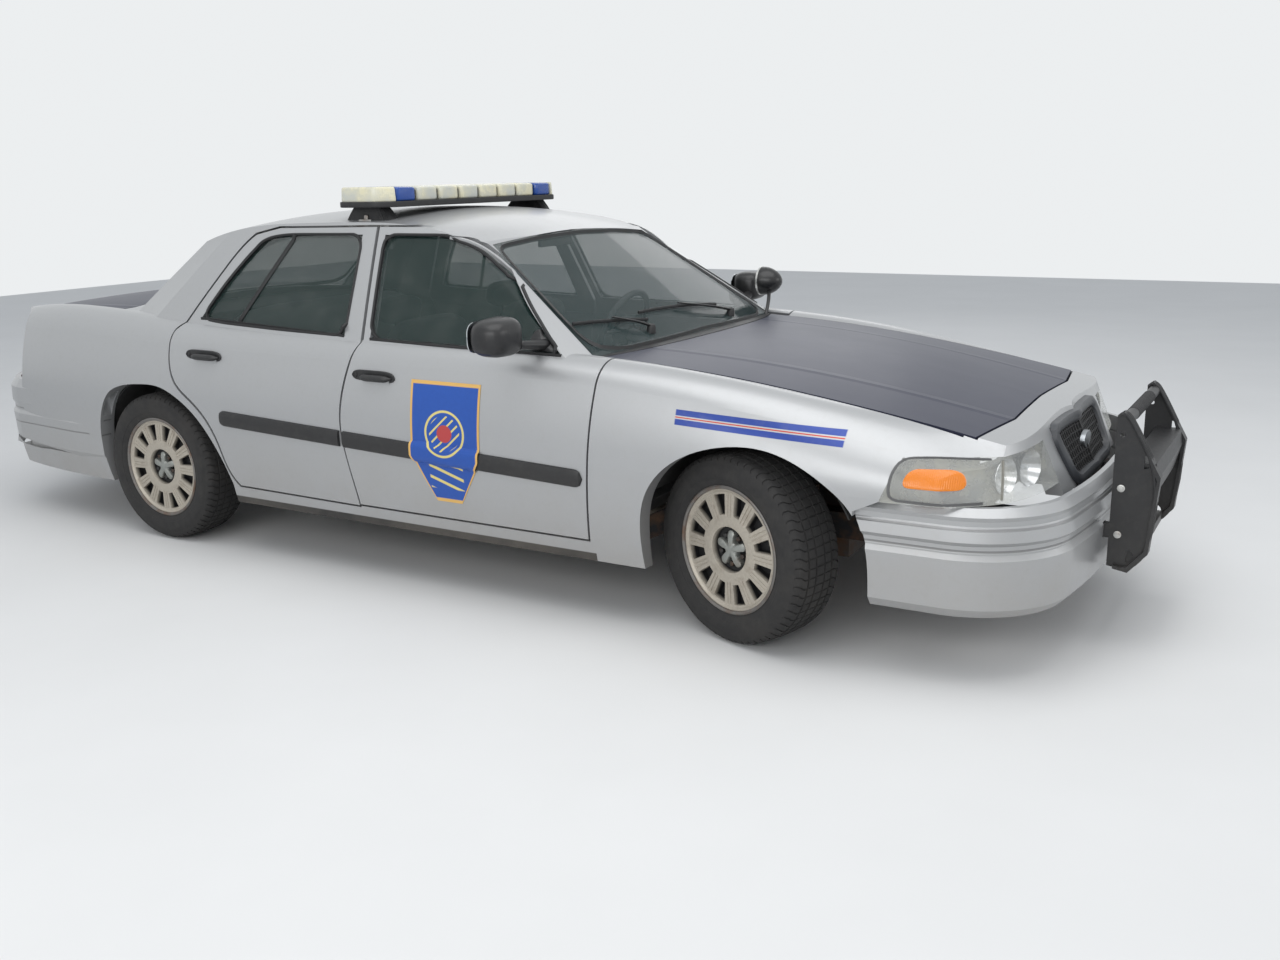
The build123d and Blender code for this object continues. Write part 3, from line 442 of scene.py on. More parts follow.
def capped(rings):
    """The rings with one more before the first and after the last, shrunk to the middle of that ring."""
    first, last = (np.repeat(end.mean(1, keepdims=True), rings.shape[1], 1) for end in (rings[:1], rings[-1:]))
    return np.concatenate([first, rings, last])


def bend(wave, power):
    """A sine or cosine raised to 2 / power with its sign kept: a circle turns square as the power grows."""
    return np.sign(wave) * np.abs(np.round(wave, 12)) ** (2 / power)


def ball_angles(rows, columns):
    """Latitudes down a column and longitudes along a row."""
    return np.linspace(-np.pi / 2, np.pi / 2, rows)[:, None], turns(columns)[None, :]


def blob(centre, half, power=4.0, rows=14, columns=28):
    """A rounded block: each coordinate is the bent sine or cosine of its angle, times its half size."""
    u, v = ball_angles(rows, columns)
    x = bend(np.cos(u), power) * bend(np.cos(v), power) * half[0]
    y = bend(np.cos(u), power) * bend(np.sin(v), power) * half[1]
    z = bend(np.sin(u), power) * np.ones_like(v) * half[2]
    return grid(np.stack([x, y, z], -1) + np.array(centre), wrap_v=True)


def tube(path, radius, sides=10, flat=1.0):
    """A closed tube: a circle of the radius carried along the path in the plane across its direction."""
    path = np.asarray(path, float)
    given = np.atleast_1d(np.asarray(radius, float))
    radius = np.interp(np.linspace(0, 1, len(path)), np.linspace(0, 1, len(given)), given)
    way = unit(np.gradient(path, axis=0))
    side = unit(np.cross(way, np.where(np.abs(way[:, 2:3]) > 0.9, [[1.0, 0, 0]], [[0, 0, 1.0]])))
    lift = np.cross(side, way)
    turn = turns(sides)[None, :, None]
    ring = side[:, None] * np.cos(turn) + flat * lift[:, None] * np.sin(turn)
    ring = path[:, None] + ring * radius[:, None, None]
    ends = [np.repeat(end[:, None], sides, 1) for end in (path[:1], path[-1:])]
    return grid(np.concatenate([ends[0], ring, ends[1]]), wrap_v=True)


def lathe(profile, centre, axis, steps=48):
    """A closed loop of (distance along the axis, radius) turned about the axis through the centre. A radius of a
    millimetre is a pole, and a loop with a pole at one end alone gets a flat cap over its open end."""
    profile = np.array(profile, float)
    profile[profile[:, 1] < 0.0015, 1] = 0
    if profile[0, 1] > 0 and profile[-1, 1] == 0:
        profile = np.concatenate([profile[:1] * [1, 0], profile])
    elif profile[-1, 1] > 0 and profile[0, 1] == 0:
        profile = np.concatenate([profile, profile[-1:] * [1, 0]])
    axis = unit(np.asarray(axis, float))
    first = unit(np.cross(axis, [0, 0, 1.0])) if abs(axis[2]) < 0.9 else np.array([1.0, 0, 0])
    turn = turns(steps)[:, None]
    around = first * np.cos(turn) + np.cross(axis, first) * np.sin(turn)
    points = np.asarray(centre) + axis * profile[:, None, :1] + around[None] * profile[:, None, 1:2]
    return grid(points, wrap_u=True, wrap_v=True)


# ---- the stage


def studio_lamp(name, place, aim, size, power):
    """A soft rectangular lamp at a place, turned towards a point."""
    lamp = bpy.data.lights.new(name, "AREA")
    lamp.shape = "RECTANGLE"
    lamp.size, lamp.size_y = size
    lamp.energy = power
    holder = bpy.data.objects.new(name, lamp)
    towards = (Vector(aim) - Vector(place)).to_track_quat("-Z", "Y").to_matrix().to_4x4()
    holder.matrix_world = Matrix.Translation(place) @ towards
    bpy.context.scene.collection.objects.link(holder)


def set_world(strength, backdrop):
    """The sky lights the car at one strength, and camera, mirror and glass rays see the plain backdrop."""
    world = bpy.data.worlds.new("studio_sky")
    bpy.context.scene.world = world
    world.use_nodes = True
    world.node_tree.nodes.clear()
    sky = Tree(world.node_tree)
    path = sky.node("ShaderNodeLightPath").output.node
    rays = ("Camera", "Transmission", "Glossy")
    camera, through, mirror = (Socket(sky, path.outputs[f"Is {ray} Ray"]) for ray in rays)
    glow = sky.node("ShaderNodeBackground", Color=(0.86, 0.92, 1.0), Strength=strength)
    plain = sky.node("ShaderNodeBackground", Color=backdrop, Strength=1.0)
    seen = sky.node("ShaderNodeMixShader", i0=camera.most(through).most(mirror), i1=glow, i2=plain)
    sky.node("ShaderNodeOutputWorld", Surface=seen)


def set_camera(place, yaw, pitch, roll, focal):
    """The viewing direction from yaw, pitch and roll in degrees, with the focal length in pixels of the photograph."""
    yaw, pitch, roll = np.radians([yaw, pitch, roll])
    ahead = np.array([np.cos(yaw) * np.cos(pitch), np.sin(yaw) * np.cos(pitch), np.sin(pitch)])
    right = np.array([np.sin(yaw), -np.cos(yaw), 0.0])
    up = np.cross(right, ahead)
    across = right * np.cos(roll) + up * np.sin(roll)
    above = up * np.cos(roll) - right * np.sin(roll)
    data = bpy.data.cameras.new("photo_view")
    data.sensor_fit = "HORIZONTAL"
    data.sensor_width = SENSOR
    data.lens = focal / PHOTO_WIDTH * SENSOR
    data.clip_end = 200
    holder = bpy.data.objects.new("photo_view", data)
    turn = Matrix(np.stack([across, above, -ahead], 1).tolist()).to_4x4()
    holder.matrix_world = Matrix.Translation(place) @ turn
    bpy.context.scene.collection.objects.link(holder)
    bpy.context.scene.camera = holder


class StageSizes(bpy.types.PropertyGroup):
    """The view and the light"""

    eye: bpy.props.FloatVectorProperty(name="Eye", description="Where the viewer stands",
                                       default=(3.248, -4.487, 1.607), subtype="TRANSLATION", unit="LENGTH")
    yaw: bpy.props.FloatProperty(name="Yaw", description="Heading of the view in degrees from the nose", default=120.47)
    pitch: bpy.props.FloatProperty(name="Pitch", description="Tilt of the view in degrees", default=-14.23)
    roll: bpy.props.FloatProperty(name="Roll", description="Lean of the view in degrees", default=-1.08)
    focal: bpy.props.FloatProperty(name="Focal", description="Focal length in pixels of a 1280 pixel frame",
                                   default=1215.6)
    sky: bpy.props.FloatProperty(name="Sky", description="Strength of the even light from all round",
                                 default=0.55, min=0)
    backdrop: bpy.props.FloatVectorProperty(name="Backdrop", description="Colour seen behind the car",
                                            subtype="COLOR", default=(0.84, 0.86, 0.87), min=0, max=1)


class PATROL_OT_stage(bpy.types.Operator):
    """Set the floor, the soft lamps, the sky and the camera"""

    bl_idname = "patrol.stage"
    bl_label = "Stage"

    def execute(self, context):
        sizes = context.scene.patrol_stage
        u = np.linspace(-14, 14, 25)
        x, y = np.meshgrid(u, u, indexing="ij")
        points, quads = grid(np.stack([x, y, np.full_like(x, -0.0015)], -1))
        mesh = bpy.data.meshes.new("studio_floor")
        mesh.from_pydata(points.tolist(), [], quads.tolist())
        mesh.materials.append(floor_finish())
        floor = bpy.data.objects.new("studio_floor", mesh)
        context.scene.collection.objects.link(floor)
        set_world(sizes.sky, sizes.backdrop)
        studio_lamp("top_softbox", (1.5, -1.5, 6.0), (0, 0, 0.6), (7.0, 5.0), 210)
        studio_lamp("side_softbox", (2.0, -7.5, 3.2), (0, 0, 0.7), (8.0, 2.5), 185)
        studio_lamp("nose_softbox", (8.0, 1.5, 3.0), (1.5, 0, 0.6), (4.0, 2.0), 60)
        studio_lamp("far_softbox", (-3.0, 7.0, 4.0), (0, 0, 0.8), (6.0, 2.0), 40)
        set_camera(sizes.eye, sizes.yaw, sizes.pitch, sizes.roll, sizes.focal)
        context.scene.view_settings.view_transform = "Standard"
        return {"FINISHED"}


def node_finishes():
    """The finish of every CAD node, worked out once, from a table of finishes with the nodes that wear them."""
    dash = plastic("dashboard_grain", (0.085, 0.088, 0.092), 0.6, 300.0)
    table = [
        (silver_paint(), "roof_panel nose_panel tail_panel *_door front_left_window_frame front_right_window_frame"),
        (silver_paint("sill"), "body_shell"),
        (silver_paint("fender_bands"), "front_fenders"),
        (silver_paint("bumper"), "front_bumper rear_bumper"),
        (navy_paint(), "hood trunk_lid"),
        (plastic("black_trim_plastic", (0.013, 0.013, 0.014), 0.42), "grille cowl inner_mirror spotlight *_trim"),
        (plastic("push_bumper_black", (0.014, 0.014, 0.015), 0.38, 140.0), "push_bumper"),
        (plastic("light_bar_black", (0.012, 0.012, 0.013), 0.5), "light_bar_base"),
        (plastic("painted_floor", (0.035, 0.036, 0.038), 0.6), "floor_pan"),
        (plastic("liner_plastic", (0.018, 0.018, 0.018), 0.75), "wheel_liners"),
        (dash, "dashboard steering_wheel steering_column"),
        (glass("tinted_window_glass", (0.020, 0.042, 0.038), 0.44), "rear_window *_glass"),
        (glass("windscreen_glass", (0.045, 0.080, 0.080), 0.27), "windshield"),
        (ribbed_lens("red_tail_lens", (0.38, 0.012, 0.012), 0.94, 0.010, 2), "tail_lamps"),
        (ribbed_lens("clear_lamp_lens", (0.80, 0.82, 0.80), 0.25, 0.014, 1, 0.3), "headlamps"),
        (ribbed_lens("aged_bar_lens", (0.66, 0.66, 0.60), 0.80, 0.007, 1, 0.8), "light_bar_clear_lenses"),
        (ribbed_lens("blue_bar_lens", (0.012, 0.075, 0.34), 0.92, 0.007, 1), "light_bar_blue_lenses"),
        (metal("suspension_iron", (0.12, 0.11, 0.105), 0.6, 0.8, 0.5),
         "left_knuckle right_knuckle cross_members front_suspension rear_axle engine_block"),
        (metal("frame_black_steel", (0.03, 0.03, 0.032), 0.6, 0.6, 0.3), "chassis_frame"),
        (metal("exhaust_steel", (0.30, 0.27, 0.24), 0.5, 0.6), "exhaust"),
        (metal("wheel_cover_metal", (0.56, 0.53, 0.48), 0.38, 0.15, 0.75), "*_wheel"),
        (cloth("dark_seat_cloth", (0.035, 0.036, 0.04)), "front_seats"),
        (cloth("grey_seat_cloth", (0.38, 0.385, 0.38)), "rear_seat"),
        (tyre_rubber(), "*_tyre"),
    ]
    finishes = {}
    for finish, nodes in table:
        for node in nodes.split():
            for name in [corner + node[1:] for corner in WHEELS] if node[0] == "*" else [node]:
                finishes[name] = finish
    return finishes


class PATROL_OT_finishes(bpy.types.Operator):
    """Give every CAD node its paint, glass, rubber, metal or cloth"""

    bl_idname = "patrol.finishes"
    bl_label = "Finishes"

    def execute(self, context):
        finishes = node_finishes()
        missing = sorted(set(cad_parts) - set(finishes))
        if missing:
            raise RuntimeError("no finish for " + ", ".join(missing))
        for node, finish in finishes.items():
            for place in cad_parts[node].material_slots:
                place.material = finish
        return {"FINISHED"}


# ---- shapes that lie on the body


def wall_tree(*nodes):
    """One search tree over several CAD nodes."""
    points, faces, offset = [], [], 0
    for node in nodes:
        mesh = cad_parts[node].data
        co = np.empty(len(mesh.vertices) * 3)
        mesh.vertices.foreach_get("co", co)
        tri = np.empty(len(mesh.loops), int)
        mesh.loops.foreach_get("vertex_index", tri)
        faces.append(tri.reshape(-1, 3) + offset)
        points.append(co.reshape(-1, 3))
        offset += len(points[-1])
    return BVHTree.FromPolygons(np.concatenate(points).tolist(), np.concatenate(faces).tolist())


def onto(tree, points, way, start):
    """Slides each point of a short path along way, from start metres before it, until it meets the surface.
    A point that meets nothing goes as far as its neighbours do, in proportion."""
    points = np.asarray(points, float)
    way = Vector(way)
    reach = [tree.ray_cast(Vector(point) - way * start, way)[3] for point in points.tolist()]
    met = np.array([r is not None for r in reach])
    if not met.any():
        raise RuntimeError("nothing under the path")
    index = np.arange(len(points))
    far = np.interp(index, index[met], np.array([r for r in reach if r is not None]))
    return points + np.array(way) * (far - start)[:, None]


def flat_points(pairs):
    """Points of (s, z) in millimetres as x, y, z in metres, well outside the left flank."""
    pairs = np.asarray(pairs, float)
    return np.stack([AXLE + pairs[:, 0] / 1000, np.full(len(pairs), 1.3), pairs[:, 1] / 1000], 1)


def on_flank(tree, pairs):
    """Points of (s, z) in millimetres dropped from the left onto the surface."""
    return onto(tree, flat_points(pairs), (0, -1, 0), 0.4)


def side_path(pairs, tree, gap=0.03, closed=False):
    """The path through points of (s, z) on the left side of the body, with y taken from the surface there."""
    return onto(tree, refine(flat_points(pairs), gap, closed), (0, -1, 0), 0.4)


def refine(points, gap=0.03, closed=False):
    """The same path with a point at least every gap, in the unit of its points."""
    points = np.asarray(points, float)
    if closed:
        points = np.concatenate([points, points[:1]])
    lengths = np.linalg.norm(np.diff(points, axis=0), axis=1)
    total = np.concatenate([[0], np.cumsum(lengths)])
    where = np.linspace(0, total[-1], max(2, int(np.ceil(total[-1] / gap))) + 1)
    out = np.stack([np.interp(where, total, points[:, k]) for k in range(points.shape[1])], 1)
    return out[:-1] if closed else out


def rounded(points, rounds=2, closed=True, reach=1e6):
    """Corner cutting: every round puts a point on each side near both its ends, a quarter of its length in or
    reach, whichever is less."""
    points = np.asarray(points, float)
    for k in range(rounds):
        following = np.roll(points, -1, axis=0) if closed else points[1:]
        first = points if closed else points[:-1]
        length = np.maximum(np.linalg.norm(following - first, axis=1), 1e-9)[:, None]
        step = (following - first) * np.minimum(0.25, reach / 2**k / length)
        cut = np.stack([first + step, following - step], 1).reshape(-1, points.shape[1])
        points = cut if closed else np.concatenate([points[:1], cut, points[-1:]])
    return points


def moulded(plan, low, high, edge, inset=0.0):
    """A closed upright block over a plan loop of (x, y), its edges rounded and its top drawn in by inset."""
    plan = np.asarray(plan, float)
    curve = np.linspace(0, np.pi / 2, 4)
    heights = np.concatenate([low + edge * (1 - np.cos(curve)), high - edge * (1 - np.cos(curve[::-1]))])
    drawn = np.concatenate([edge * (1 - np.sin(curve)), inset + edge * (1 - np.sin(curve[::-1]))])
    rings = plan[None] - unit(plan - plan.mean(0))[None] * drawn[:, None, None]
    poles = np.broadcast_to(plan.mean(0), (1,) + plan.shape)
    rings = np.concatenate([poles, rings, poles])
    heights = np.concatenate([heights[:1], heights, heights[-1:]])
    levels = np.broadcast_to(heights[:, None, None], rings.shape[:2] + (1,))
    return grid(np.concatenate([rings, levels], 2), wrap_v=True)


def strip(path, outward, profile, closed=False):
    """A profile of (across, proud) pairs carried along a path. Across lies along outward x path."""
    path = np.asarray(path, float)
    profile = np.asarray(profile, float)
    outward = np.broadcast_to(np.asarray(outward, float), path.shape)
    way = unit((np.roll(path, -1, 0) - np.roll(path, 1, 0)) if closed else np.gradient(path, axis=0))
    across = unit(np.cross(outward, way))
    proud = np.cross(way, across)
    points = path[:, None] + across[:, None] * profile[None, :, :1] + proud[:, None] * profile[None, :, 1:]
    return grid(points if closed else capped(points), wrap_u=closed, wrap_v=True)


def mirrored(parts):
    """The same surfaces on the other side of the car, with their faces turned round."""
    return [(points * [1, -1, 1], quads[:, ::-1]) for points, quads in parts]


def both(parts):
    """The surfaces and their mirror images."""
    return list(parts) + mirrored(parts)


def around_wheel(points, wheel):
    """Wheel coordinates (ahead, outboard, up) turned by the steering angle and set at the wheel's centre."""
    centre, steer, side = WHEELS[wheel]
    cos, sin = np.cos(np.radians(steer)), np.sin(np.radians(steer))
    x, y, z = points[..., 0], points[..., 1] * side, points[..., 2]
    return np.stack([x * cos - y * sin, x * sin + y * cos, z], -1) + np.array(centre)


def wheel_rings(across, radius, turn, wheel):
    """Points at (radius sin turn, across, radius cos turn) for arrays that share one shape, a ring to each row."""
    radius = np.where(radius < 0.0015, 0, radius)
    points = np.stack([radius * np.sin(turn), np.broadcast_to(across, turn.shape), radius * np.cos(turn)], -1)
    return grid(around_wheel(points, wheel), wrap_u=True, wrap_v=True)


def wheel_lathe(profile, outline, wheel):
    """A profile of (across, radius) turned about the wheel's axis. outline scales the radius at each angle."""
    profile = np.array(profile)
    turn = np.repeat(turns(len(outline))[None], len(profile), 0)
    return wheel_rings(profile[:, :1], profile[:, 1:] * outline[None], turn, wheel)


# ---- wheels


class WheelSizes(bpy.types.PropertyGroup):
    """The tread and the wheel cover"""

    groove: bpy.props.FloatProperty(name="Groove", description="Depth of the tread grooves", default=0.006, min=0,
                                    unit="LENGTH")
    blocks: bpy.props.IntProperty(name="Blocks", description="Tread blocks round the tyre", default=64, min=12)
    windows: bpy.props.IntProperty(name="Windows", description="Windows in the wheel cover", default=12, min=4)


# one side of the tyre from the bead to the tread's edge, as (across, radius)
SIDEWALL = np.array([
    (0.0822, 0.2162), (0.0965, 0.2225), (0.0972, 0.231), (0.1015, 0.237), (0.1065, 0.250), (0.1075, 0.254),
    (0.1095, 0.256), (0.1118, 0.272), (0.1122, 0.284), (0.1108, 0.298), (0.1098, 0.300), (0.1082, 0.309),
    (0.1062, 0.3155), (0.1022, 0.3222), (0.0965, 0.3285), (0.090, 0.3325), (0.080, 0.3345), (0.070, 0.3355),
])
# places across one half of the tread where a groove or a rib begins or ends
TREAD_ROWS = np.array([0.0605, 0.0590, 0.0530, 0.0515, 0.040, 0.0255, 0.0240, 0.0180, 0.0165, 0.008])
GROOVE_ROWS = (0.059, 0.053, 0.024, 0.018)
# parts of one block's length: three points on its face, and the two edges of its cut between them and the next
BLOCK_CUTS = np.array([0.0, 0.40, 0.80, 0.84, 0.95, 0.985])


def tyre_rings(sizes):
    """Rows across the tyre by columns round it: the radius falls by the groove's depth in the grooves, and by a
    little less in the slanted cuts between blocks. Returns across, radius and angle."""
    crown = np.stack([TREAD_ROWS, WHEEL_RADIUS - TREAD_ROWS**2 * 0.5], 1)
    inner_wall = [(-0.07, 0.225), (0.07, 0.225)]
    rows = np.concatenate([SIDEWALL, crown, crown[::-1] * [-1, 1], SIDEWALL[::-1] * [-1, 1], inner_wall])
    across, radius = rows[:, 0], rows[:, 1]
    size = np.abs(across)
    groove = np.isclose(size[:, None], GROOVE_ROWS).any(1) & (radius > 0.33)
    around = (np.arange(sizes.blocks)[:, None] + BLOCK_CUTS).ravel()
    cut = np.isin(np.arange(len(around)) % len(BLOCK_CUTS), (3, 4))
    block = (radius > 0.3205) & ~groove
    shoulder = block & (size > 0.0604)
    depth = groove[:, None] * sizes.groove + ((block & ~shoulder) * 0.0035 + shoulder * 0.005)[:, None] * cut
    slant = np.where(radius > 0.32, across * 4.0 * np.sign(0.04 - np.abs(size - 0.04)), 0.0)
    turn = (around[None, :] + slant[:, None] * 0.6) / sizes.blocks * 2 * np.pi
    return across[:, None], np.clip(radius[:, None] - depth, 0.2, WHEEL_RADIUS - 0.0001), turn


class PATROL_OT_tyres(bpy.types.Operator):
    """Make the four tyres with ribbed shoulders, grooves and blocks"""

    bl_idname = "patrol.tyres"
    bl_label = "Tyres"

    def execute(self, context):
        rings = tyre_rings(context.scene.patrol_wheels)
        rubber = tyre_rubber()
        for wheel in WHEELS:
            part = wheel_rings(*rings, wheel)
            piece = mesh_piece(wheel + "_road_tyre", [part], rubber, wheel + "_wheel", angle=0.5)
            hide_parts(wheel + "_tyre")
        return {"FINISHED"}


# each ring of the wheel cover from its front middle out and back behind: radius, across, groove share, window share
COVER_RINGS = np.array([
    (0.001, 0.036, 0, 0), (0.060, 0.036, 0, 0), (0.0755, 0.040, 0, 0), (0.0775, 0.064, 0, 0), (0.079, 0.0668, 0, 0),
    (0.083, 0.0675, 0, 0), (0.100, 0.0668, 0, 0), (0.112, 0.066, 0, 0), (0.1135, 0.066, 1, 0), (0.119, 0.0658, 1, 0),
    (0.1205, 0.0656, 1, 0.35), (0.1222, 0.0654, 1, 1), (0.140, 0.0648, 1, 1), (0.160, 0.064, 1, 1),
    (0.1855, 0.063, 1, 1), (0.187, 0.063, 1, 0.3), (0.1885, 0.063, 1, 0), (0.1915, 0.063, 0, 0), (0.195, 0.0635, 0, 0),
    (0.1985, 0.067, 0, 0), (0.2025, 0.0700, 0, 0), (0.2065, 0.0695, 0, 0), (0.209, 0.066, 0, 0), (0.2095, 0.058, 0, 0),
    (0.2075, 0.054, 0, 0), (0.195, 0.026, 0, 0), (0.120, 0.024, 0, 0), (0.060, 0.026, 0, 0), (0.001, 0.026, 0, 0),
])
# the rim's barrel, the drum behind the cover and the star cap's face
BARREL = [
    (-0.0995, 0.2235), (-0.0985, 0.2285), (-0.0975, 0.2285), (-0.0965, 0.222), (-0.082, 0.2155), (-0.060, 0.2135),
    (-0.030, 0.196), (0.020, 0.196), (0.050, 0.2135), (0.082, 0.2155), (0.0965, 0.222), (0.0975, 0.2285),
    (0.0992, 0.2285), (0.1018, 0.2238), (0.0985, 0.2165), (0.086, 0.2118), (0.056, 0.2105), (0.022, 0.192),
    (-0.032, 0.190), (-0.062, 0.208), (-0.084, 0.2095), (-0.096, 0.2155),
]
DRUM = [(-0.044, 0.001), (-0.044, 0.044), (-0.034, 0.060), (-0.030, 0.150), (-0.006, 0.152), (0.0, 0.16),
        (0.010, 0.192), (0.018, 0.192), (0.020, 0.15), (0.022, 0.06), (0.022, 0.001)]
STAR_CAP = [(0.0880, 0.001), (0.0876, 0.45), (0.0852, 0.80), (0.0825, 0.93), (0.0790, 1.0), (0.0605, 1.0),
            (0.0605, 0.001)]
NUT = np.array([(0.0, 0.080), (0.0075, 0.0795), (0.0095, 0.0775), (0.0095, 0.061), (0.0, 0.061)])
GROOVE_DEPTH, WINDOW_DEPTH = 0.0022, 0.032
NUT_COUNT, NUT_CIRCLE = 5, 0.053


def cover_rings(count):
    """The wheel cover's across, radius, angle and depth: spokes as wide as their radius asks, a groove on each edge
    of a spoke, and windows sunk between the spokes."""
    radius, across = COVER_RINGS[:, 0] * 1.045, COVER_RINGS[:, 1] + 0.024
    pitch = 2 * np.pi / count
    spoke = np.clip(0.0205 + (radius - 0.122) * 0.062, 0.018, None)
    # half a pitch: distances from the spoke's middle line at this radius, as far as the window's middle
    fixed = np.repeat([[0.0, 0.0042, 0.0052, 0.0082, 0.0092]], len(radius), 0)
    knots = np.concatenate([fixed, np.stack([spoke - 0.0012, spoke, spoke + 0.0022], 1)], 1)
    angle = np.minimum(knots / np.maximum(radius, 0.05)[:, None], pitch * 0.45)
    middle = np.full((len(radius), 1), pitch / 2)
    angle = np.concatenate([angle, middle, pitch - angle[:, :0:-1]], 1)
    turn = (np.arange(count)[None, :, None] * pitch + angle[:, None, :]).reshape(len(radius), -1)
    in_groove, in_window = np.array([0, 0, 1, 1, 0, 0, 0, 0, 0]), np.array([0, 0, 0, 0, 0, 0, 0.15, 1, 1])
    groove, window = (np.tile(np.concatenate([row, row[-2:0:-1]]), count) for row in (in_groove, in_window))
    depth = COVER_RINGS[:, 2:3] * groove * GROOVE_DEPTH + COVER_RINGS[:, 3:4] * window * WINDOW_DEPTH
    return across[:, None], np.repeat(radius[:, None], turn.shape[1], 1), turn, depth


def wheel_nut(place, wheel):
    """Six-sided rings of NUT about a point at this angle on the nuts' circle."""
    side = turns(6)
    x = np.sin(place) * NUT_CIRCLE + NUT[:, :1] * np.cos(side)
    z = np.cos(place) * NUT_CIRCLE + NUT[:, :1] * np.sin(side)
    y = np.broadcast_to(NUT[:, 1:], x.shape)
    return grid(around_wheel(np.stack([x, y, z], -1), wheel), wrap_u=True, wrap_v=True)


class PATROL_OT_wheel_covers(bpy.types.Operator):
    """Make the windowed wheel covers, the star caps with their nuts, and the rims behind them"""

    bl_idname = "patrol.wheel_covers"
    bl_label = "Wheel covers"

    def execute(self, context):
        across, radius, turn, depth = cover_rings(context.scene.patrol_wheels.windows)
        # painted shade: the cover's depth, with its middle rings under the star cap made deep, so that its material
        # paints the windows and the middle near black
        painted_shade_depth = depth.copy()
        painted_shade_depth[:3] = 0.02
        theta = turns(72)
        star = 0.047 + 0.0205 * np.tanh(2.2 * np.cos(5 * theta)) + 0.001 * np.cos(10 * theta)
        cover = cover_metal()
        rim = metal("steel_rim", (0.20, 0.19, 0.18), 0.45, 0.5, 0.7)
        cap = metal("cap_metal", (0.30, 0.31, 0.29), 0.4, 0.2, 0.6)
        nut = metal("nut_metal", (0.05, 0.05, 0.05), 0.5, 0.4, 0.7)
        for wheel in WHEELS:
            body = wheel + "_wheel"
            face = wheel_rings(across - depth, radius, turn, wheel)
            mesh_piece(wheel + "_wheel_cover", [face], cover, body, angle=0.45, depth=painted_shade_depth)
            back = [wheel_lathe(profile, np.ones(72), wheel) for profile in (BARREL, DRUM)]
            piece = mesh_piece(wheel + "_steel_rim", back, rim, body)
            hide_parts(wheel + "_wheel")
            mesh_piece(wheel + "_star_cap", [wheel_lathe(STAR_CAP, star, wheel)], cap, body, angle=0.5)
            nuts = [wheel_nut(2 * np.pi * (k + 0.5) / NUT_COUNT, wheel) for k in range(NUT_COUNT)]
            mesh_piece(wheel + "_lug_nuts", nuts, nut, body, angle=0.4)
        return {"FINISHED"}


# ---- door furniture


# outlines of the side panes as (s, z), the belt line between the last and the first point
FRONT_PANE = [(-735, 968), (-857, 1060), (-963, 1140), (-1068, 1225), (-1190, 1318), (-1290, 1362), (-1400, 1376),
              (-1706, 1378), (-1634, 985)]
REAR_PANE = [(-1772, 990), (-1822, 1378), (-2260, 1372), (-2360, 1355), (-2420, 1312), (-2533, 1180), (-2640, 1020),
             (-2500, 1008)]
# each door: its pane, where its belt line starts, the ends of its moulding and the middle of its handle, as (s, z)
DOORS = {
    "front": (FRONT_PANE, FRONT_PANE[-1], [(-588, 548), (-1720, 590)], (-1562, 852)),
    "rear": (REAR_PANE, REAR_PANE[-2], [(-1742, 591), (-2436, 617)], (-2528, 877)),
}
MOULDING_HALF = 0.033


class TrimSizes(bpy.types.PropertyGroup):
    """The window rubbers and the outside mirrors"""

    rubber: bpy.props.FloatProperty(name="Rubber", description="Width of the black window rubbers", default=0.011,
                                    min=0.002, unit="LENGTH")
    mirror: bpy.props.FloatVectorProperty(name="Mirror", description="Half sizes of the mirror housing",
                                          unit="LENGTH", default=(0.074, 0.094, 0.069), min=0.01)


def moulding(ends, tree, outer):
    """A bowed band between two points: its section shrinks towards the outer end, by the square root of 1 less the
    square of the way left to go, so that the end is round like a thumb. The end at the gap is cut square."""
    path = side_path(ends, tree, 0.012) - [0, 0.001, 0]
    away = np.abs(path[:, 0] - path[outer, 0])
    thumb = np.sqrt(np.clip(1 - (1 - np.clip(away / MOULDING_HALF, 0, 1)) ** 2, 0.0004, 1))[:, None]
    half = np.array([(MOULDING_HALF, 0.0), (0.0325, 0.006), (0.029, 0.0105), (0.018, 0.0138)])
    face = np.concatenate([half * [-1, 1], [(0.0, 0.0150)], half[::-1]])
    z = thumb * face[:, 0]
    offset = np.stack([np.zeros_like(z), face[:, 1] * np.sqrt(thumb), z], -1)
    return [grid(capped(path[:, None] + offset), wrap_v=True)]


def handle(s, z, tree):
    """A long rounded plate that droops at one end, a round bar bowed out in front of it, and a lock."""
    path = side_path([(s - 108, z), (s + 108, z)], tree, 0.008)
    u = np.linspace(-1, 1, len(path))[:, None]
    rim = np.array([(-1, 0), (-0.98, 0.004), (-0.88, 0.0065), (0.88, 0.0065), (0.98, 0.004), (1, 0)])
    height = 0.0215 * np.clip(1 - np.abs(u) ** 7, 0.02, 1) ** 0.5 * rim[:, 0]
    droop = np.where(u > 0.25, (u - 0.25) ** 2 * 0.012, 0)
    proud = np.broadcast_to(rim[:, 1], height.shape)
    plate = path[:, None] + np.stack([np.zeros_like(height), proud, height - droop], -1)
    pull = path[6:-2] + [0, 0.007, -0.0065]
    v = np.linspace(-1, 1, len(pull))
    pull[:, 1] += 0.013 * np.clip(1 - v**6, 0, 1)
    thickness = 0.0150 * np.clip(1 - v**8, 0.3, 1)
    barrel = [(0.0075, 0.001), (0.008, 0.0085), (0.0105, 0.009), (0.009, 0.011), (0.0, 0.0115)]
    lock = lathe(barrel, path[1] * 0.4 + path[2] * 0.6 + [0.004, 0, 0.001], (0, 1, 0), 24)
    return [grid(capped(plate), wrap_v=True), tube(pull, thickness, 14, 0.9), lock]


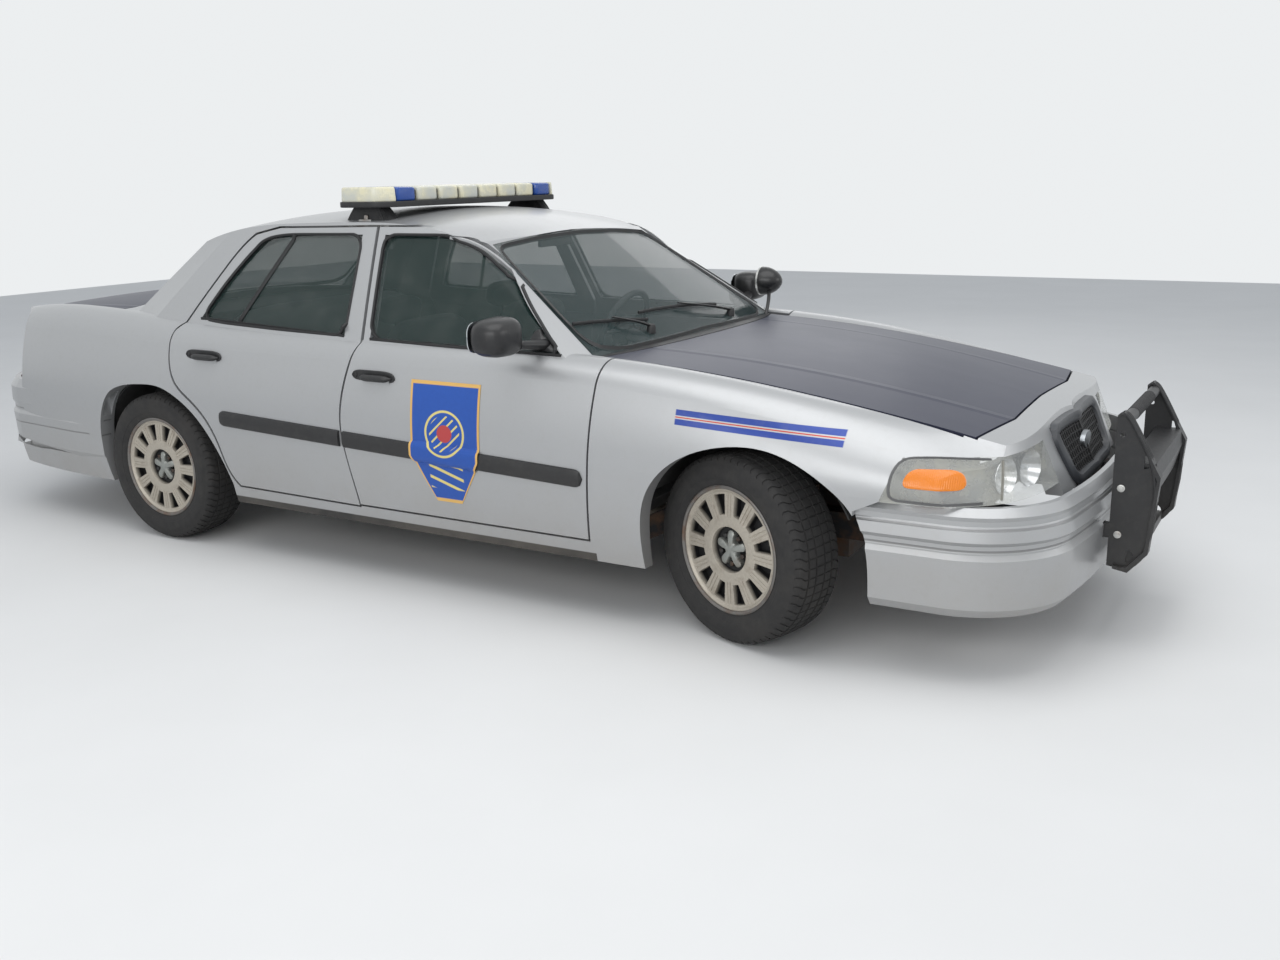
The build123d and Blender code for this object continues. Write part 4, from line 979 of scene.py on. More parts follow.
def hand_recess(s, z, tree):
    """The painted dish under the pull: its width is the square root of 1 less the square of the way down."""
    along, down = np.meshgrid(np.linspace(-1, 1, 17), np.linspace(0, 1, 9), indexing="ij")
    ground = side_path([(s - 38, z - 25), (s + 98, z - 25)], tree, 0.0086)[:, 1]
    ground = np.interp(along[:, 0], np.linspace(-1, 1, len(ground)), ground)[:, None]
    width = np.sqrt(np.clip(1 - np.clip(down - 0.35, 0, 1) ** 2 * 1.9, 0.05, 1))
    y = np.broadcast_to(ground + 0.0016, along.shape)
    x = AXLE + (s + 20 + 62 * along * width) / 1000
    return [grid(np.stack([x, y, (z - 14 - 48 * down) / 1000], -1), flip=True)]


def window_edge(place, pane, tree, width):
    """The black rubber round a pane, draped on the pressings, or carried on from the slope of the glass where the
    frame has no width. There a thin bright frame lies outside it, and is returned as well."""
    edge = refine(rounded(pane, 2, reach=34), 15, True)
    ray = unit(edge - edge.mean(0))
    glass_tree = wall_tree(place + "_left_glass")
    near, far = (on_flank(glass_tree, edge - ray * deep)[:, 1] for deep in (12, 33))
    level = lambda out: near + (near - far) / 21 * (12 + out) + 0.0125
    bare = np.clip((edge[:, 0] + 1400) / 60, 0, 1) * np.clip((-1030 - edge[:, 0]) / 50, 0, 1)
    bare = bare * (edge[:, 1] > 1150) * (place == "front")
    out = 3 - 19 * bare
    path = flat_points(edge + ray * out[:, None])
    draped = onto(tree, path, (0, -1, 0), 0.4)[:, 1]
    path[:, 1] = np.where(bare > 0, level(out), np.maximum(draped, level(out) - 0.004))
    w = width / 2
    section = [(-w, -0.009), (-w, 0.002), (0, 0.004), (w, 0.002), (w, -0.009)]
    rubber = [strip(path, (0, 1, 0), section, closed=True)]
    bridge = np.flatnonzero(bare > 0)
    if not len(bridge):
        return rubber, None
    crown = flat_points((edge - ray * 6)[bridge])
    crown[:, 1] = level(-6)[bridge]
    section = [(-0.0065, -0.010), (-0.0055, 0.0026), (0.0055, 0.0026), (0.0065, -0.010)]
    return rubber, [strip(crown, (0, 1, 0), section)]


MIRROR_CENTRE = at(-880, 1050, 1050)


def mirror_housing(half):
    """An egg-shaped shell, bent square in every section and lower at its outer end, on a short arm with a sail."""
    u, v = ball_angles(22, 44)
    reach = bend(np.cos(u), 2.8)
    x = bend(np.sin(u), 2.8) * half[0] * np.ones_like(v)
    y = reach * bend(np.cos(v), 3.2) * half[1]
    z = reach * bend(np.sin(v), 3.2) * half[2] * (1 - 0.10 * reach * np.cos(v))
    shell = grid(MIRROR_CENTRE + np.stack([x, y, z], -1), wrap_v=True)
    path = rounded([at(-822, 806, 994), at(-828, 850, 999), at(-838, 900, 1006), at(-854, 960, 1012)], 2, False)
    arm = tube(path, [0.030, 0.029, 0.026, 0.023, 0.020, 0.020, 0.023], 20, 0.85)
    sail = rounded([(-748, 974), (-852, 1056), (-884, 1044), (-892, 984)], 2, reach=14)
    tree = wall_tree("front_left_window_frame", "front_left_glass")
    loop = side_path(sail, tree, 0.012, closed=True) - [0, 0.004, 0]
    # rings of the sail: the outline's scale, and how far it stands out
    steps = np.array([(0.0, -0.001), (1.0, 0.0), (1.0, 0.012), (0.96, 0.017), (0.6, 0.021), (0.0, 0.023)])
    hub = loop.mean(0)
    dome = hub + (loop[None] - hub) * steps[:, :1, None] + np.array([0, 1, 0]) * steps[:, 1, None, None]
    return [shell, arm, grid(dome, wrap_v=True)]


def mirror_pane(half):
    """A flat disc bent as the housing's section is, set in the housing's rear face."""
    ring = turns(40)
    y, z = bend(np.cos(ring), 3.2) * half[1] * 0.84, bend(np.sin(ring), 3.2) * half[2] * 0.82
    shape = np.stack([np.zeros_like(ring), y, z], 1)
    points = np.stack([shape * k for k in (0, 1.0, 1.0, 0.7, 0.35, 0)]) + MIRROR_CENTRE
    points[..., 0] -= half[0] * 0.97 - np.array([0.004, 0.004, 0, 0, 0, 0])[:, None]
    return [grid(points, wrap_v=True)]


def emblem_sheet(ends, tree):
    """A sheet that narrows below the middle. It lies on the door, on heights that are read on a coarse grid and
    blended between its points, and it rises over the moulding between ends."""
    v = np.linspace(1, -1, 61)
    taper = np.clip(1.0 - np.maximum(-v - 0.25, 0) * EMBLEM_TAPER, 0.05, 1)
    s = EMBLEM_S + EMBLEM_WIDE * np.linspace(-1, 1, 25)[None, :] * taper[:, None]
    z = np.broadcast_to(EMBLEM_Z + EMBLEM_TALL * v[:, None], s.shape)
    rows, columns = 30, 7
    left_s, right_s = EMBLEM_S - EMBLEM_WIDE - 2, EMBLEM_S + EMBLEM_WIDE + 2
    top, bottom = EMBLEM_Z + EMBLEM_TALL, EMBLEM_Z - EMBLEM_TALL
    grid_z, grid_s = np.meshgrid(np.linspace(top, bottom, rows), np.linspace(left_s, right_s, columns), indexing="ij")
    skin = on_flank(tree, np.stack([grid_s.ravel(), grid_z.ravel()], 1))[:, 1].reshape(rows, columns)
    column = (s - left_s) / (right_s - left_s) * (columns - 1)
    row = (top - z) / (top - bottom) * (rows - 1)
    left, upper = np.clip(column.astype(int), 0, columns - 2), np.clip(row.astype(int), 0, rows - 2)
    share, fall = column - left, row - upper
    above = skin[upper, left] * (1 - share) + skin[upper, left + 1] * share
    below = skin[upper + 1, left] * (1 - share) + skin[upper + 1, left + 1] * share
    (s0, z0), (s1, z1) = ends
    middle_line = z0 + (z1 - z0) * (s - s0) / (s1 - s0)
    rise = 0.0162 * np.sqrt(np.clip(1 - (np.abs(z - middle_line) / 40) ** 4, 0, 1))
    y = above * (1 - fall) + below * fall + 0.0016 + rise
    return [grid(np.stack([AXLE + s / 1000, y, z / 1000], -1))]


class PATROL_OT_door_trim(bpy.types.Operator):
    """Make the mouldings, handles, outside mirrors and window rubbers of the doors"""

    bl_idname = "patrol.door_trim"
    bl_label = "Door trim"

    def execute(self, context):
        sizes = context.scene.patrol_trim
        black = plastic("door_trim_black", (0.012, 0.012, 0.013), 0.42, 220.0)
        shell = plastic("mirror_black", (0.011, 0.011, 0.012), 0.3, 320.0)
        rubber = plastic("window_rubber", (0.009, 0.009, 0.010), 0.55, 300.0, 0.2)
        silver = mirror_metal("mirror_silvering", (0.55, 0.58, 0.6), (0.62, 0.65, 0.67), 12.0, 0.06, 0.05, 9.0)
        paint = silver_paint()
        for place, (pane, belt_start, ends, grip) in DOORS.items():
            skins = [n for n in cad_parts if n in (place + "_left_door", place + "_left_window_frame")]
            tree = wall_tree(*skins)
            edge, bright = window_edge(place, pane, tree, sizes.rubber)
            belt = side_path([belt_start, pane[0]], tree, 0.03) - [0, 0, 0.004]
            section = [(-0.009, -0.004), (-0.009, 0.004), (0.009, 0.003), (0.009, -0.004)]
            pieces = {
                "moulding": (moulding(ends, tree, 0 if place == "front" else -1), black),
                "handle": (handle(*grip, tree), black),
                "handle_recess": (hand_recess(*grip, tree), paint),
                "window_rubber": (edge, rubber),
                "belt_seal": ([strip(belt, (0, 1, 0), section)], rubber),
            }
            if place == "front":
                pieces["bright_frame"] = (bright, paint)
                pieces["mirror_housing"] = (mirror_housing(sizes.mirror), shell)
                pieces["mirror_pane"] = (mirror_pane(sizes.mirror), silver)
                pieces["emblem"] = (emblem_sheet(ends, tree), emblem_finish())
            for side in ("left", "right"):
                for name, (parts, finish) in pieces.items():
                    parts = parts if side == "left" else mirrored(parts)
                    mesh_piece(f"{place}_{side}_{name}", parts, finish, f"{place}_{side}_door")
                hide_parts(f"{place}_{side}_trim")
        path = side_path([(-2197, 1374), (-2412, 1000)], wall_tree("rear_left_glass"), 0.03) + [0, 0.001, 0]
        half = np.array([(-0.009, 0), (-0.009, 0.005), (-0.006, 0.007)])
        divider = [strip(path, (0, 1, 0), np.concatenate([half, half[::-1] * [-1, 1]]))]
        mesh_piece("rear_left_divider", divider, rubber, "rear_left_door")
        mesh_piece("rear_right_divider", mirrored(divider), rubber, "rear_right_door")
        return {"FINISHED"}


# ---- roof lights


# the light bar in millimetres: its middle, and the lenses' underside and top; then half a lens's length in metres
BAR_S, BAR_LOW, BAR_HIGH, LENS_HALF = -1866, 1504, 1566, 0.1405
BAR_MIDDLE = (BAR_LOW + BAR_HIGH) / 2
BAR_PLACE = np.array([AXLE + BAR_S / 1000, 0])
CLEAR_LENSES = ((-422, -291), (-279, -148), (-136, -6), (6, 136), (148, 279), (291, 422))
BLUE_LENSES = ((-559, -434), (434, 559))
LENS_GAPS = (-563, -428, -285, -142, 0, 142, 285, 428, 563)


def bar_lenses(spans, half_height):
    """A squared rounded block for each span of y in millimetres."""
    return [blob(at(BAR_S, (y0 + y1) / 2, BAR_MIDDLE), (LENS_HALF, (y1 - y0) / 2000, half_height), 9.0, 20, 64)
            for y0, y1 in spans]


def bar_foot():
    """A bellows foot: a squared plan ring, ribbed by a cosine round it, that is drawn in as it goes up."""
    turn, levels = turns(96), np.linspace(0, 1, 9)
    rib = 1 + 0.030 * np.cos(turn * 20) * np.sin(levels[:, None] * np.pi)
    plan = lambda wave, half: np.sign(wave) * np.abs(wave) ** (2 / 7.0) * half
    x = BAR_PLACE[0] + plan(np.cos(turn), 0.124) * (1.0 - 0.40 * levels)[:, None] * rib
    y = 0.560 + plan(np.sin(turn), 0.043) * (1.0 - 0.20 * levels)[:, None] * rib
    z = (1.427 + levels * 0.060)[:, None] - (y - 0.51) * 0.16 * (1 - levels[:, None])
    return np.stack([x, y, z], -1)


class PATROL_OT_light_bar(bpy.types.Operator):
    """Make the lens blocks of the light bar with their gaps, its tray, and the feet and brackets that hold it"""

    bl_idname = "patrol.light_bar"
    bl_label = "Light bar"

    def execute(self, context):
        aged = ribbed_lens("aged_bar_dome", (0.60, 0.61, 0.55), 0.9, 0.0075, 1, 0.75)
        blue = ribbed_lens("blue_bar_dome", (0.010, 0.062, 0.30), 0.95, 0.0075, 1)
        black = plastic("bar_foot_rubber", (0.014, 0.014, 0.015), 0.6, 120.0)
        steel = metal("hook_steel", (0.42, 0.42, 0.41), 0.35, 0.4)
        tray_black = plastic("bar_tray_black", (0.012, 0.012, 0.013), 0.5)
        end = np.array([(LENS_HALF, 0.564), (LENS_HALF, 0.572), (0.090, 0.643)])
        end = rounded(np.concatenate([end, end[::-1] * [-1, 1]]), 2, reach=0.010)
        low, high = BAR_LOW / 1000, BAR_HIGH / 1000
        domes = [moulded(end * [1, side] + BAR_PLACE, low, high, 0.009, 0.003) for side in (1, -1)]
        piece = mesh_piece("bar_clear_domes", domes + bar_lenses(CLEAR_LENSES, 0.0312), aged, "car_body")
        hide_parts("light_bar_clear_lenses")
        piece = mesh_piece("bar_blue_domes", bar_lenses(BLUE_LENSES, 0.0308), blue, "car_body")
        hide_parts("light_bar_blue_lenses")
        corner = np.array([(0.147, 0.575), (0.094, 0.650)])
        plan = np.concatenate([corner, corner[::-1] * [-1, 1], corner * -1, corner[::-1] * [1, -1]])
        tray = moulded(rounded(plan, 2, reach=0.012) + BAR_PLACE, 1.484, 1.5075, 0.005)
        gaps = [blob(at(BAR_S, y, 1533), (0.128, 0.0065, 0.027), 6.0, 8, 24) for y in LENS_GAPS]
        body = bar_foot()
        feet = [grid(capped(body), wrap_v=True)]
        hub = body[0].mean(0)
        base = hub + (body[0] - hub) * [1.06, 1.16, 1.16]
        base = np.stack([base - [0, 0, 0.012], base, base + [0, 0, 0.003]])
        hooks = [grid(capped(base), wrap_v=True), blob(at(BAR_S + 6, 612, 1425), (0.034, 0.0035, 0.011), 8.0, 8, 24),
                 blob(at(BAR_S + 6, 604, 1442), (0.010, 0.005, 0.012), 4.0, 8, 16)]
        tray_piece = mesh_piece("bar_tray", [tray] + gaps, tray_black, "car_body")
        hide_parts("light_bar_base")
        mesh_piece("bar_feet", both(feet), black, "car_body")
        mesh_piece("bar_hooks", both(hooks), steel, "car_body", angle=0.4)
        return {"FINISHED"}


class PATROL_OT_spotlight(bpy.types.Operator):
    """Make the round spotlight with its rim, reflector and curved stem"""

    bl_idname = "patrol.spotlight"
    bl_label = "Spotlight"

    def execute(self, context):
        black = plastic("spotlight_black", (0.010, 0.010, 0.011), 0.25, 200.0)
        bright = metal("spotlight_rim", (0.62, 0.62, 0.60), 0.2, 0.1)
        lens = ribbed_lens("spotlight_glass", (0.60, 0.63, 0.63), 0.55, 0.009, 2)
        head = at(-735, 866, 1092)
        # every profile is (ahead of the rim, radius)
        shell = [(0.0, 0.0655), (0.012, 0.0665), (0.030, 0.0650), (0.052, 0.058), (0.072, 0.047), (0.088, 0.033),
                 (0.098, 0.018), (0.101, 0.001), (0.098, 0.001), (0.095, 0.017), (0.086, 0.030), (0.070, 0.044),
                 (0.051, 0.055), (0.029, 0.062), (0.004, 0.0635)]
        bowl = [(0.050, 0.001), (0.044, 0.016), (0.032, 0.033), (0.016, 0.050), (0.003, 0.059), (0.0, 0.0605),
                (0.0, 0.0655), (0.006, 0.0650), (0.019, 0.054), (0.035, 0.038), (0.048, 0.020), (0.054, 0.001)]
        rim = [(-0.004, 0.0595), (-0.006, 0.0625), (-0.005, 0.0665), (0.004, 0.0672), (0.004, 0.0655)]
        pane = [(-0.001, 0.060), (-0.004, 0.045), (-0.0055, 0.025), (-0.006, 0.001)]
        stem = rounded([at(-648, 716, 940), at(-652, 745, 975), at(-668, 800, 1020), at(-690, 850, 1060)], 3, False)
        shell, bowl, rim, pane = (lathe(profile, head, (1, 0, 0)) for profile in (shell, bowl, rim, pane))
        case = mesh_piece("spotlight_case", [shell, tube(stem, 0.0085, 12)], black, "car_body")
        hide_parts("spotlight")
        mesh_piece("spotlight_bowl", [bowl, rim], bright, "car_body")
        mesh_piece("spotlight_pane", [pane], lens, "car_body")
        return {"FINISHED"}


# ---- nose and screen


class NoseSizes(bpy.types.PropertyGroup):
    """The bars of the grille"""

    mesh_pitch: bpy.props.FloatProperty(name="Mesh pitch", description="Distance between the bars of the grille",
                                        default=0.027, min=0.01, unit="LENGTH")
    mesh_bar: bpy.props.FloatProperty(name="Mesh bar", description="Half width of a grille bar", default=0.0028,
                                      min=0.0005, unit="LENGTH")


# the mesh: half its width at its foot, how fast that grows with height, and the foot's height
MESH_HALF, MESH_SPREAD, MESH_FOOT = 0.268, 0.345, 0.56


class PATROL_OT_grille(bpy.types.Operator):
    """Make the crossed bars of the grille, its deep surround and the bare round badge plate"""

    bl_idname = "patrol.grille"
    bl_label = "Grille"

    def execute(self, context):
        sizes = context.scene.patrol_nose
        tree = wall_tree("grille")
        frame_black = plastic("grille_surround_grey", (0.045, 0.048, 0.054), 0.34, 300.0)
        mesh_black = plastic("grille_mesh_black", (0.02, 0.02, 0.021), 0.4)
        plate = metal("bare_badge_plate", (0.34, 0.36, 0.38), 0.25, 0.05)
        face = lambda yz: onto(tree, np.stack([np.full(len(yz), 2.7), yz[:, 0], yz[:, 1]], 1), (-1, 0, 0), 0.4)
        section = lambda top: np.array([(-1, -1.0), (-1, top), (1, top), (1, -1.0)]) * sizes.mesh_bar
        bars = []
        for z in np.arange(0.5735, 0.722, sizes.mesh_pitch * 0.82):
            half = MESH_HALF + (z - MESH_FOOT) * MESH_SPREAD
            path = face(np.stack([np.linspace(-half, half, 15), np.full(15, z)], 1))
            bars.append(strip(path, (1, 0, 0), section(2.0)))
        for y in np.arange(-0.324, 0.325, sizes.mesh_pitch):
            low = max(0.561, MESH_FOOT + (abs(y) - MESH_HALF) / MESH_SPREAD)
            if low < 0.70:
                path = face(np.stack([np.full(5, y), np.linspace(low, 0.725, 5)], 1))
                bars.append(strip(path, (1, 0, 0), section(2.2)))
        mesh_piece("grille_mesh", bars, mesh_black, "car_body", angle=0.4)
        # the surround stands outside the mesh, so its depth is carried on from the slope of the mesh further in
        outline = rounded([(-0.284, 0.553), (0.284, 0.553), (0.343, 0.734), (-0.343, 0.734)], 3, reach=0.03)
        loop = refine(outline, 0.02, True)
        hub = np.array([0.0, 0.645])
        near, far = (face(hub + (loop - hub) * share)[:, 0] for share in (0.86, 0.72))
        loop = np.stack([2 * near - far, loop[:, 0], loop[:, 1]], 1)
        half = np.array([(-0.021, -0.030), (-0.020, 0.014), (-0.008, 0.0215)])
        ring = strip(loop, (1, 0, 0), np.concatenate([half, half[::-1] * [-1, 1]]), closed=True)
        mesh_piece("grille_surround", [ring], frame_black, "car_body")
        hub = face(np.array([(0.0, 0.65)]))[0]
        disc = [(-0.004, 0.0315), (0.004, 0.0315), (0.0125, 0.031), (0.0135, 0.0285), (0.0125, 0.0265), (0.0135, 0.020),
                (0.014, 0.001)]
        points, quads = lathe(disc, (0, 0, 0), (1, 0, 0), 40)
        mesh_piece("badge_plate", [(points * [1, 1.9, 0.95] + hub, quads)], plate, "car_body")
        return {"FINISHED"}


# each lamp: how far to the left, and its bowl's radius
LAMPS = ((0.585, 0.060), (0.735, 0.058))
LAMP_HEIGHT = 0.660
MARKER = [(562, 643), (584, 700), (716, 702), (746, 690), (757, 641)]
# rings of the amber marker: the outline's scale, and how far it stands out of the lens
MARKER_RINGS = ((0.0, -0.006), (1.0, -0.003), (0.985, 0.0012), (0.93, 0.0022), (0.75, 0.0024), (0.5, 0.0024),
                (0.25, 0.0024), (0.0, 0.0024))
LAMP_RIM = [(800, 600), (640, 600), (531, 603), (528, 650), (537, 697), (560, 727), (650, 729), (800, 721)]


class PATROL_OT_headlamps(bpy.types.Operator):
    """Make the reflectors, bulbs, amber markers, rims and seams of the headlamps"""

    bl_idname = "patrol.headlamps"
    bl_label = "Headlamps"

    def execute(self, context):
        tree = wall_tree("headlamps")
        chrome = mirror_metal("reflector_chrome", (0.62, 0.63, 0.64), (0.74, 0.75, 0.76), 20.0, 0.16, 0.12, 14.0)
        amber = ribbed_lens("amber_marker", (0.80, 0.22, 0.012), 0.97, 0.006, 0)
        bowls, bulbs = [], []
        way = unit(np.array([1.0, 0.35, 0.05]))
        for y, half in LAMPS:
            seat = onto(tree, [(2.8, y, LAMP_HEIGHT)], (-1, 0, 0), 0.6)[0] - way * 0.026
            u = np.linspace(0, 1, 12)
            bowl = np.stack([-0.055 * (1 - u**2), 0.004 + (half - 0.004) * u], 1)
            bowls.append(lathe(np.concatenate([bowl[::-1], bowl + [-0.002, 0.0005]]), seat, way, 40))
            bulbs.append(lathe([(-0.05, 0.008), (-0.022, 0.0085), (-0.012, 0.006), (-0.008, 0.001)], seat, way, 20))
        outline = rounded(MARKER, 3, reach=16)
        hub = outline.mean(0)
        outline = refine(outline, 9, True)
        rings = [on_flank(tree, hub + (outline - hub) * share) + [0, lift, 0] for share, lift in MARKER_RINGS]
        rim = side_path(rounded(LAMP_RIM, 2, False, 18), wall_tree("headlamps", "front_fenders"), 0.015)
        rim = strip(rim, (0, 1, 0), [(-0.0045, -0.004), (-0.004, 0.0022), (0.004, 0.0022), (0.0045, -0.004)])
        seam = onto(tree, [(2.8, 0.754 + 0.050 * k / 9, 0.716 - 0.113 * k / 9) for k in range(10)], (-1, 0, 0), 0.9)
        seam = strip(seam, (1, 1, 0), [(-0.004, -0.004), (-0.003, 0.0025), (0.003, 0.0025), (0.004, -0.004)])
        for name, parts, finish, slot in (
            ("lamp_seams", [seam], plastic("lamp_seam_grey", (0.22, 0.21, 0.18), 0.4), "black_plastic"),
            ("lamp_reflectors", bowls, chrome, "clear_lens"),
            ("lamp_bulbs", bulbs, bulb_glass(), "clear_lens"),
            ("lamp_amber_markers", [grid(np.stack(rings), wrap_v=True)], amber, "clear_lens"),
            ("lamp_bezels", [rim], plastic("lamp_bezel", (0.10, 0.10, 0.10), 0.5), "black_plastic"),
        ):
            mesh_piece(name, both(parts), finish, "car_body")
        return {"FINISHED"}


# each wiper as (s, y): its pivot, its blade's heel and its blade's tip
WIPERS = (((-640, 330), (-700, 300), (-742, -300)), ((-652, -350), (-700, -300), (-800, -690)))
ABOVE = 1500


class PATROL_OT_wipers(bpy.types.Operator):
    """Make the two wipers with their arms, pivots and blades, parked low on the screen"""

    bl_idname = "patrol.wipers"
    bl_label = "Wipers"

    def execute(self, context):
        tree = wall_tree("windshield", "cowl")
        cap = [(-0.012, 0.001), (-0.012, 0.019), (0.014, 0.017), (0.022, 0.012), (0.026, 0.001)]
        parts = []
        for pivot, heel, tip in WIPERS:
            blade = refine([at(*heel, ABOVE), at(*tip, ABOVE)], 0.03)
            blade = onto(tree, blade, (0, 0, -1), 0.0) + [0.004, 0, 0.007]
            parts.append(tube(blade, 0.0042, 8, 1.6))
            root = onto(tree, [at(*pivot, ABOVE)], (0, 0, -1), 0.0)[0]
            middle = blade[len(blade) // 2] + [0.004, 0, 0.014]
            line = [root + [0, 0, 0.022], root * 0.6 + middle * 0.4 + [0.01, 0, 0.018], middle]
            line = rounded(line, 2, False)
            parts.append(tube(line, np.linspace(0.011, 0.005, len(line)), 10, 0.6))
            parts.append(lathe(cap, root + [0, 0, 0.006], (0.1, 0, 1), 24))
        black = plastic("wiper_black", (0.012, 0.012, 0.013), 0.5)
        mesh_piece("wipers", parts, black, "car_body")
        return {"FINISHED"}


# half the outline of each big pane as (y, z), from its foot's middle round to its top's middle
SCREENS = {
    "windscreen_rubber": ("windshield", 2.0, (-1, 0, 0), [
        (0.0, 0.975), (0.60, 0.962), (0.725, 0.985), (0.655, 1.150), (0.580, 1.318), (0.54, 1.332), (0.30, 1.350),
        (0.0, 1.359)]),
    "rear_window_rubber": ("rear_window", -3.0, (1, 0, 0), [
        (0.0, 1.045), (0.45, 1.038), (0.628, 1.05), (0.60, 1.160), (0.556, 1.295), (0.52, 1.310), (0.30, 1.326),
        (0.0, 1.334)]),
}


class PATROL_OT_glass_rubbers(bpy.types.Operator):
    """Make the black surrounds of the windscreen and the rear window"""

    bl_idname = "patrol.glass_rubbers"
    bl_label = "Glass surrounds"

    def execute(self, context):
        rubber = plastic("screen_rubber", (0.010, 0.010, 0.011), 0.5, 300.0, 0.2)
        section = [(-0.010, -0.001), (-0.009, 0.0028), (0.009, 0.0028), (0.010, -0.001)]
        for name, (node, far, way, half) in SCREENS.items():
            half = np.array(half)
            loop = refine(rounded(np.concatenate([half, half[-2:0:-1] * [-1, 1]]), 2, reach=0.03), 0.02, True)
            path = onto(wall_tree(node), np.stack([np.full(len(loop), far), loop[:, 0], loop[:, 1]], 1), way, 0.5)
            path[:, 0] -= way[0] * 0.001
            band = strip(path, (-way[0], 0, 0.2), section, closed=True)
            mesh_piece(name, [band], rubber, "car_body")
        return {"FINISHED"}


# the outline of a push bumper's plate as (s, z), and how far to the left its middle is
PLATE_EDGE = [(1093, 806), (1112, 823), (1140, 793), (1240, 611), (1220, 348), (1161, 277), (1100, 287)]
PLATE_Y = 318


class PATROL_OT_push_bumper(bpy.types.Operator):
    """Make the rounded rubber edges, the bolts and the ribbed tube of the push bumper"""

    bl_idname = "patrol.push_bumper"
    bl_label = "Push bumper"

    def execute(self, context):
        rubber = plastic("push_pad_rubber", (0.02, 0.02, 0.021), 0.62, 90.0)
        bolt = metal("bumper_bolt", (0.55, 0.55, 0.53), 0.3, 0.3)
        line = rounded([at(s, PLATE_Y, z) for s, z in PLATE_EDGE], 2, False)
        line = line + unit((at(1150, PLATE_Y, 550) - line) * [1, 0, 1]) * 0.006
        edges = [tube(line, 0.0065, 12)]
        for y in (0.300, 0.336):
            shifted = line.copy()
            shifted[:, 1] = y
            edges.append(tube(shifted[4:-3], 0.0058, 10))
        rib = [(-0.005, 0.0202), (-0.003, 0.0222), (0.003, 0.0222), (0.005, 0.0202)]
        ribs = [lathe(rib, at(1116, y, 786), (0, 1, 0), 24) for y in np.linspace(-170, 170, 21)]
        head = [(0.0, 0.0125), (0.0022, 0.0125), (0.003, 0.0085), (0.008, 0.0080), (0.009, 0.001)]
        bolts = [lathe(head, at(1118, 323, z), (0, 1, 0), 18) for z in (560, 400)]
        mesh_piece("push_bumper_edges", both(edges), rubber, "car_body")
        mesh_piece("push_bumper_grip", ribs, rubber, "car_body")
        mesh_piece("push_bumper_bolts", both(bolts), bolt, "car_body", angle=0.4)
        return {"FINISHED"}


# ---- cabin


def crowned(centre, half, swell, channels, lean=0.0, rows=36, columns=48, power=5.0):
    """A pad: a bent block whose top is crowned by swell, times 1 less the square of each distance from its middle,
    and pinched by bell curves along sewn channels across it and one along each side. lean tips it about y."""
    u, v = ball_angles(rows, columns)
    x = bend(np.cos(u), power) * bend(np.cos(v), power)
    y = bend(np.cos(u), power) * bend(np.sin(v), power)
    z = bend(np.sin(u), power) * np.ones_like(v)
    crown = (1 - np.clip(x, -1, 1) ** 2) * (1 - np.clip(y, -1, 1) ** 2)
    groove = np.exp(-(((np.abs(y) - 0.52) / 0.035) ** 2)) * (np.abs(x) < 0.93)
    for channel in channels:
        groove = np.maximum(groove, np.exp(-(((x - channel) / 0.045) ** 2)) * (np.abs(y) < 0.52))
    z = z * half[2] + np.clip(z, 0, 1) * (crown * swell - groove * 0.008)
    x, y = x * half[0], y * half[1]
    cos, sin = np.cos(lean), np.sin(lean)
    return grid(np.stack([x * cos + z * sin, y, -x * sin + z * cos], -1) + np.array(centre), wrap_v=True)


BACK_LEAN = -np.pi / 2


class PATROL_OT_seats(bpy.types.Operator):
    """Make the two front seats and the rear bench as crowned pads with sewn channels"""

    bl_idname = "patrol.seats"
    bl_label = "Seats"

    def execute(self, context):
        dark = cloth("front_seat_cloth", (0.04, 0.042, 0.047))
        grey = cloth("rear_bench_cloth", (0.36, 0.37, 0.365))
        base = plastic("seat_base_black", (0.02, 0.02, 0.021), 0.6)

        def pad(name, shape, finish, slot):
            piece = mesh_piece(name, [shape], finish, "car_body", angle=1.2)
            return piece

        for side, y in (("left", 390), ("right", -390)):
            cushion = crowned(at(-1480, y, 465), (0.245, 0.255, 0.058), 0.022, (-0.45, 0.05, 0.5), -0.09)
            back = crowned(at(-1800, y, 740), (0.285, 0.250, 0.050), 0.024, (-0.45, 0.0, 0.45), BACK_LEAN + 0.28)
            head = crowned(at(-1902, y, 1040), (0.058, 0.125, 0.040), 0.015, (), BACK_LEAN + 0.2, 24, 36, 3.5)
            piece = pad(f"front_{side}_cushion", cushion, dark, "dark_fabric")
            if side == "left":
                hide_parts("front_seats")
            pad(f"front_{side}_backrest", back, dark, "dark_fabric")
            pad(f"front_{side}_headrest", head, dark, "dark_fabric")
            posts = [tube([at(-1884, y + d, 985), at(-1872, y + d, 930)], 0.006, 10) for d in (-50, 50)]
            plinth = blob(at(-1500, y, 350), (0.23, 0.20, 0.060), 8.0)
            hinge = blob(at(-1735, y, 480), (0.04, 0.23, 0.075), 6.0)
            mesh_piece(f"front_{side}_seat_base", [plinth, hinge] + posts, base, "car_body")
        cushion = crowned(at(-2440, 0, 515), (0.215, 0.645, 0.075), 0.025, (-0.3, 0.3), -0.1)
        back = crowned(at(-2760, 0, 790), (0.245, 0.635, 0.065), 0.025, (-0.3, 0.3), BACK_LEAN + 0.36)
        piece = pad("rear_cushion", cushion, grey, "grey_fabric")
        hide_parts("rear_seat")
        pad("rear_backrest", back, grey, "grey_fabric")
        return {"FINISHED"}


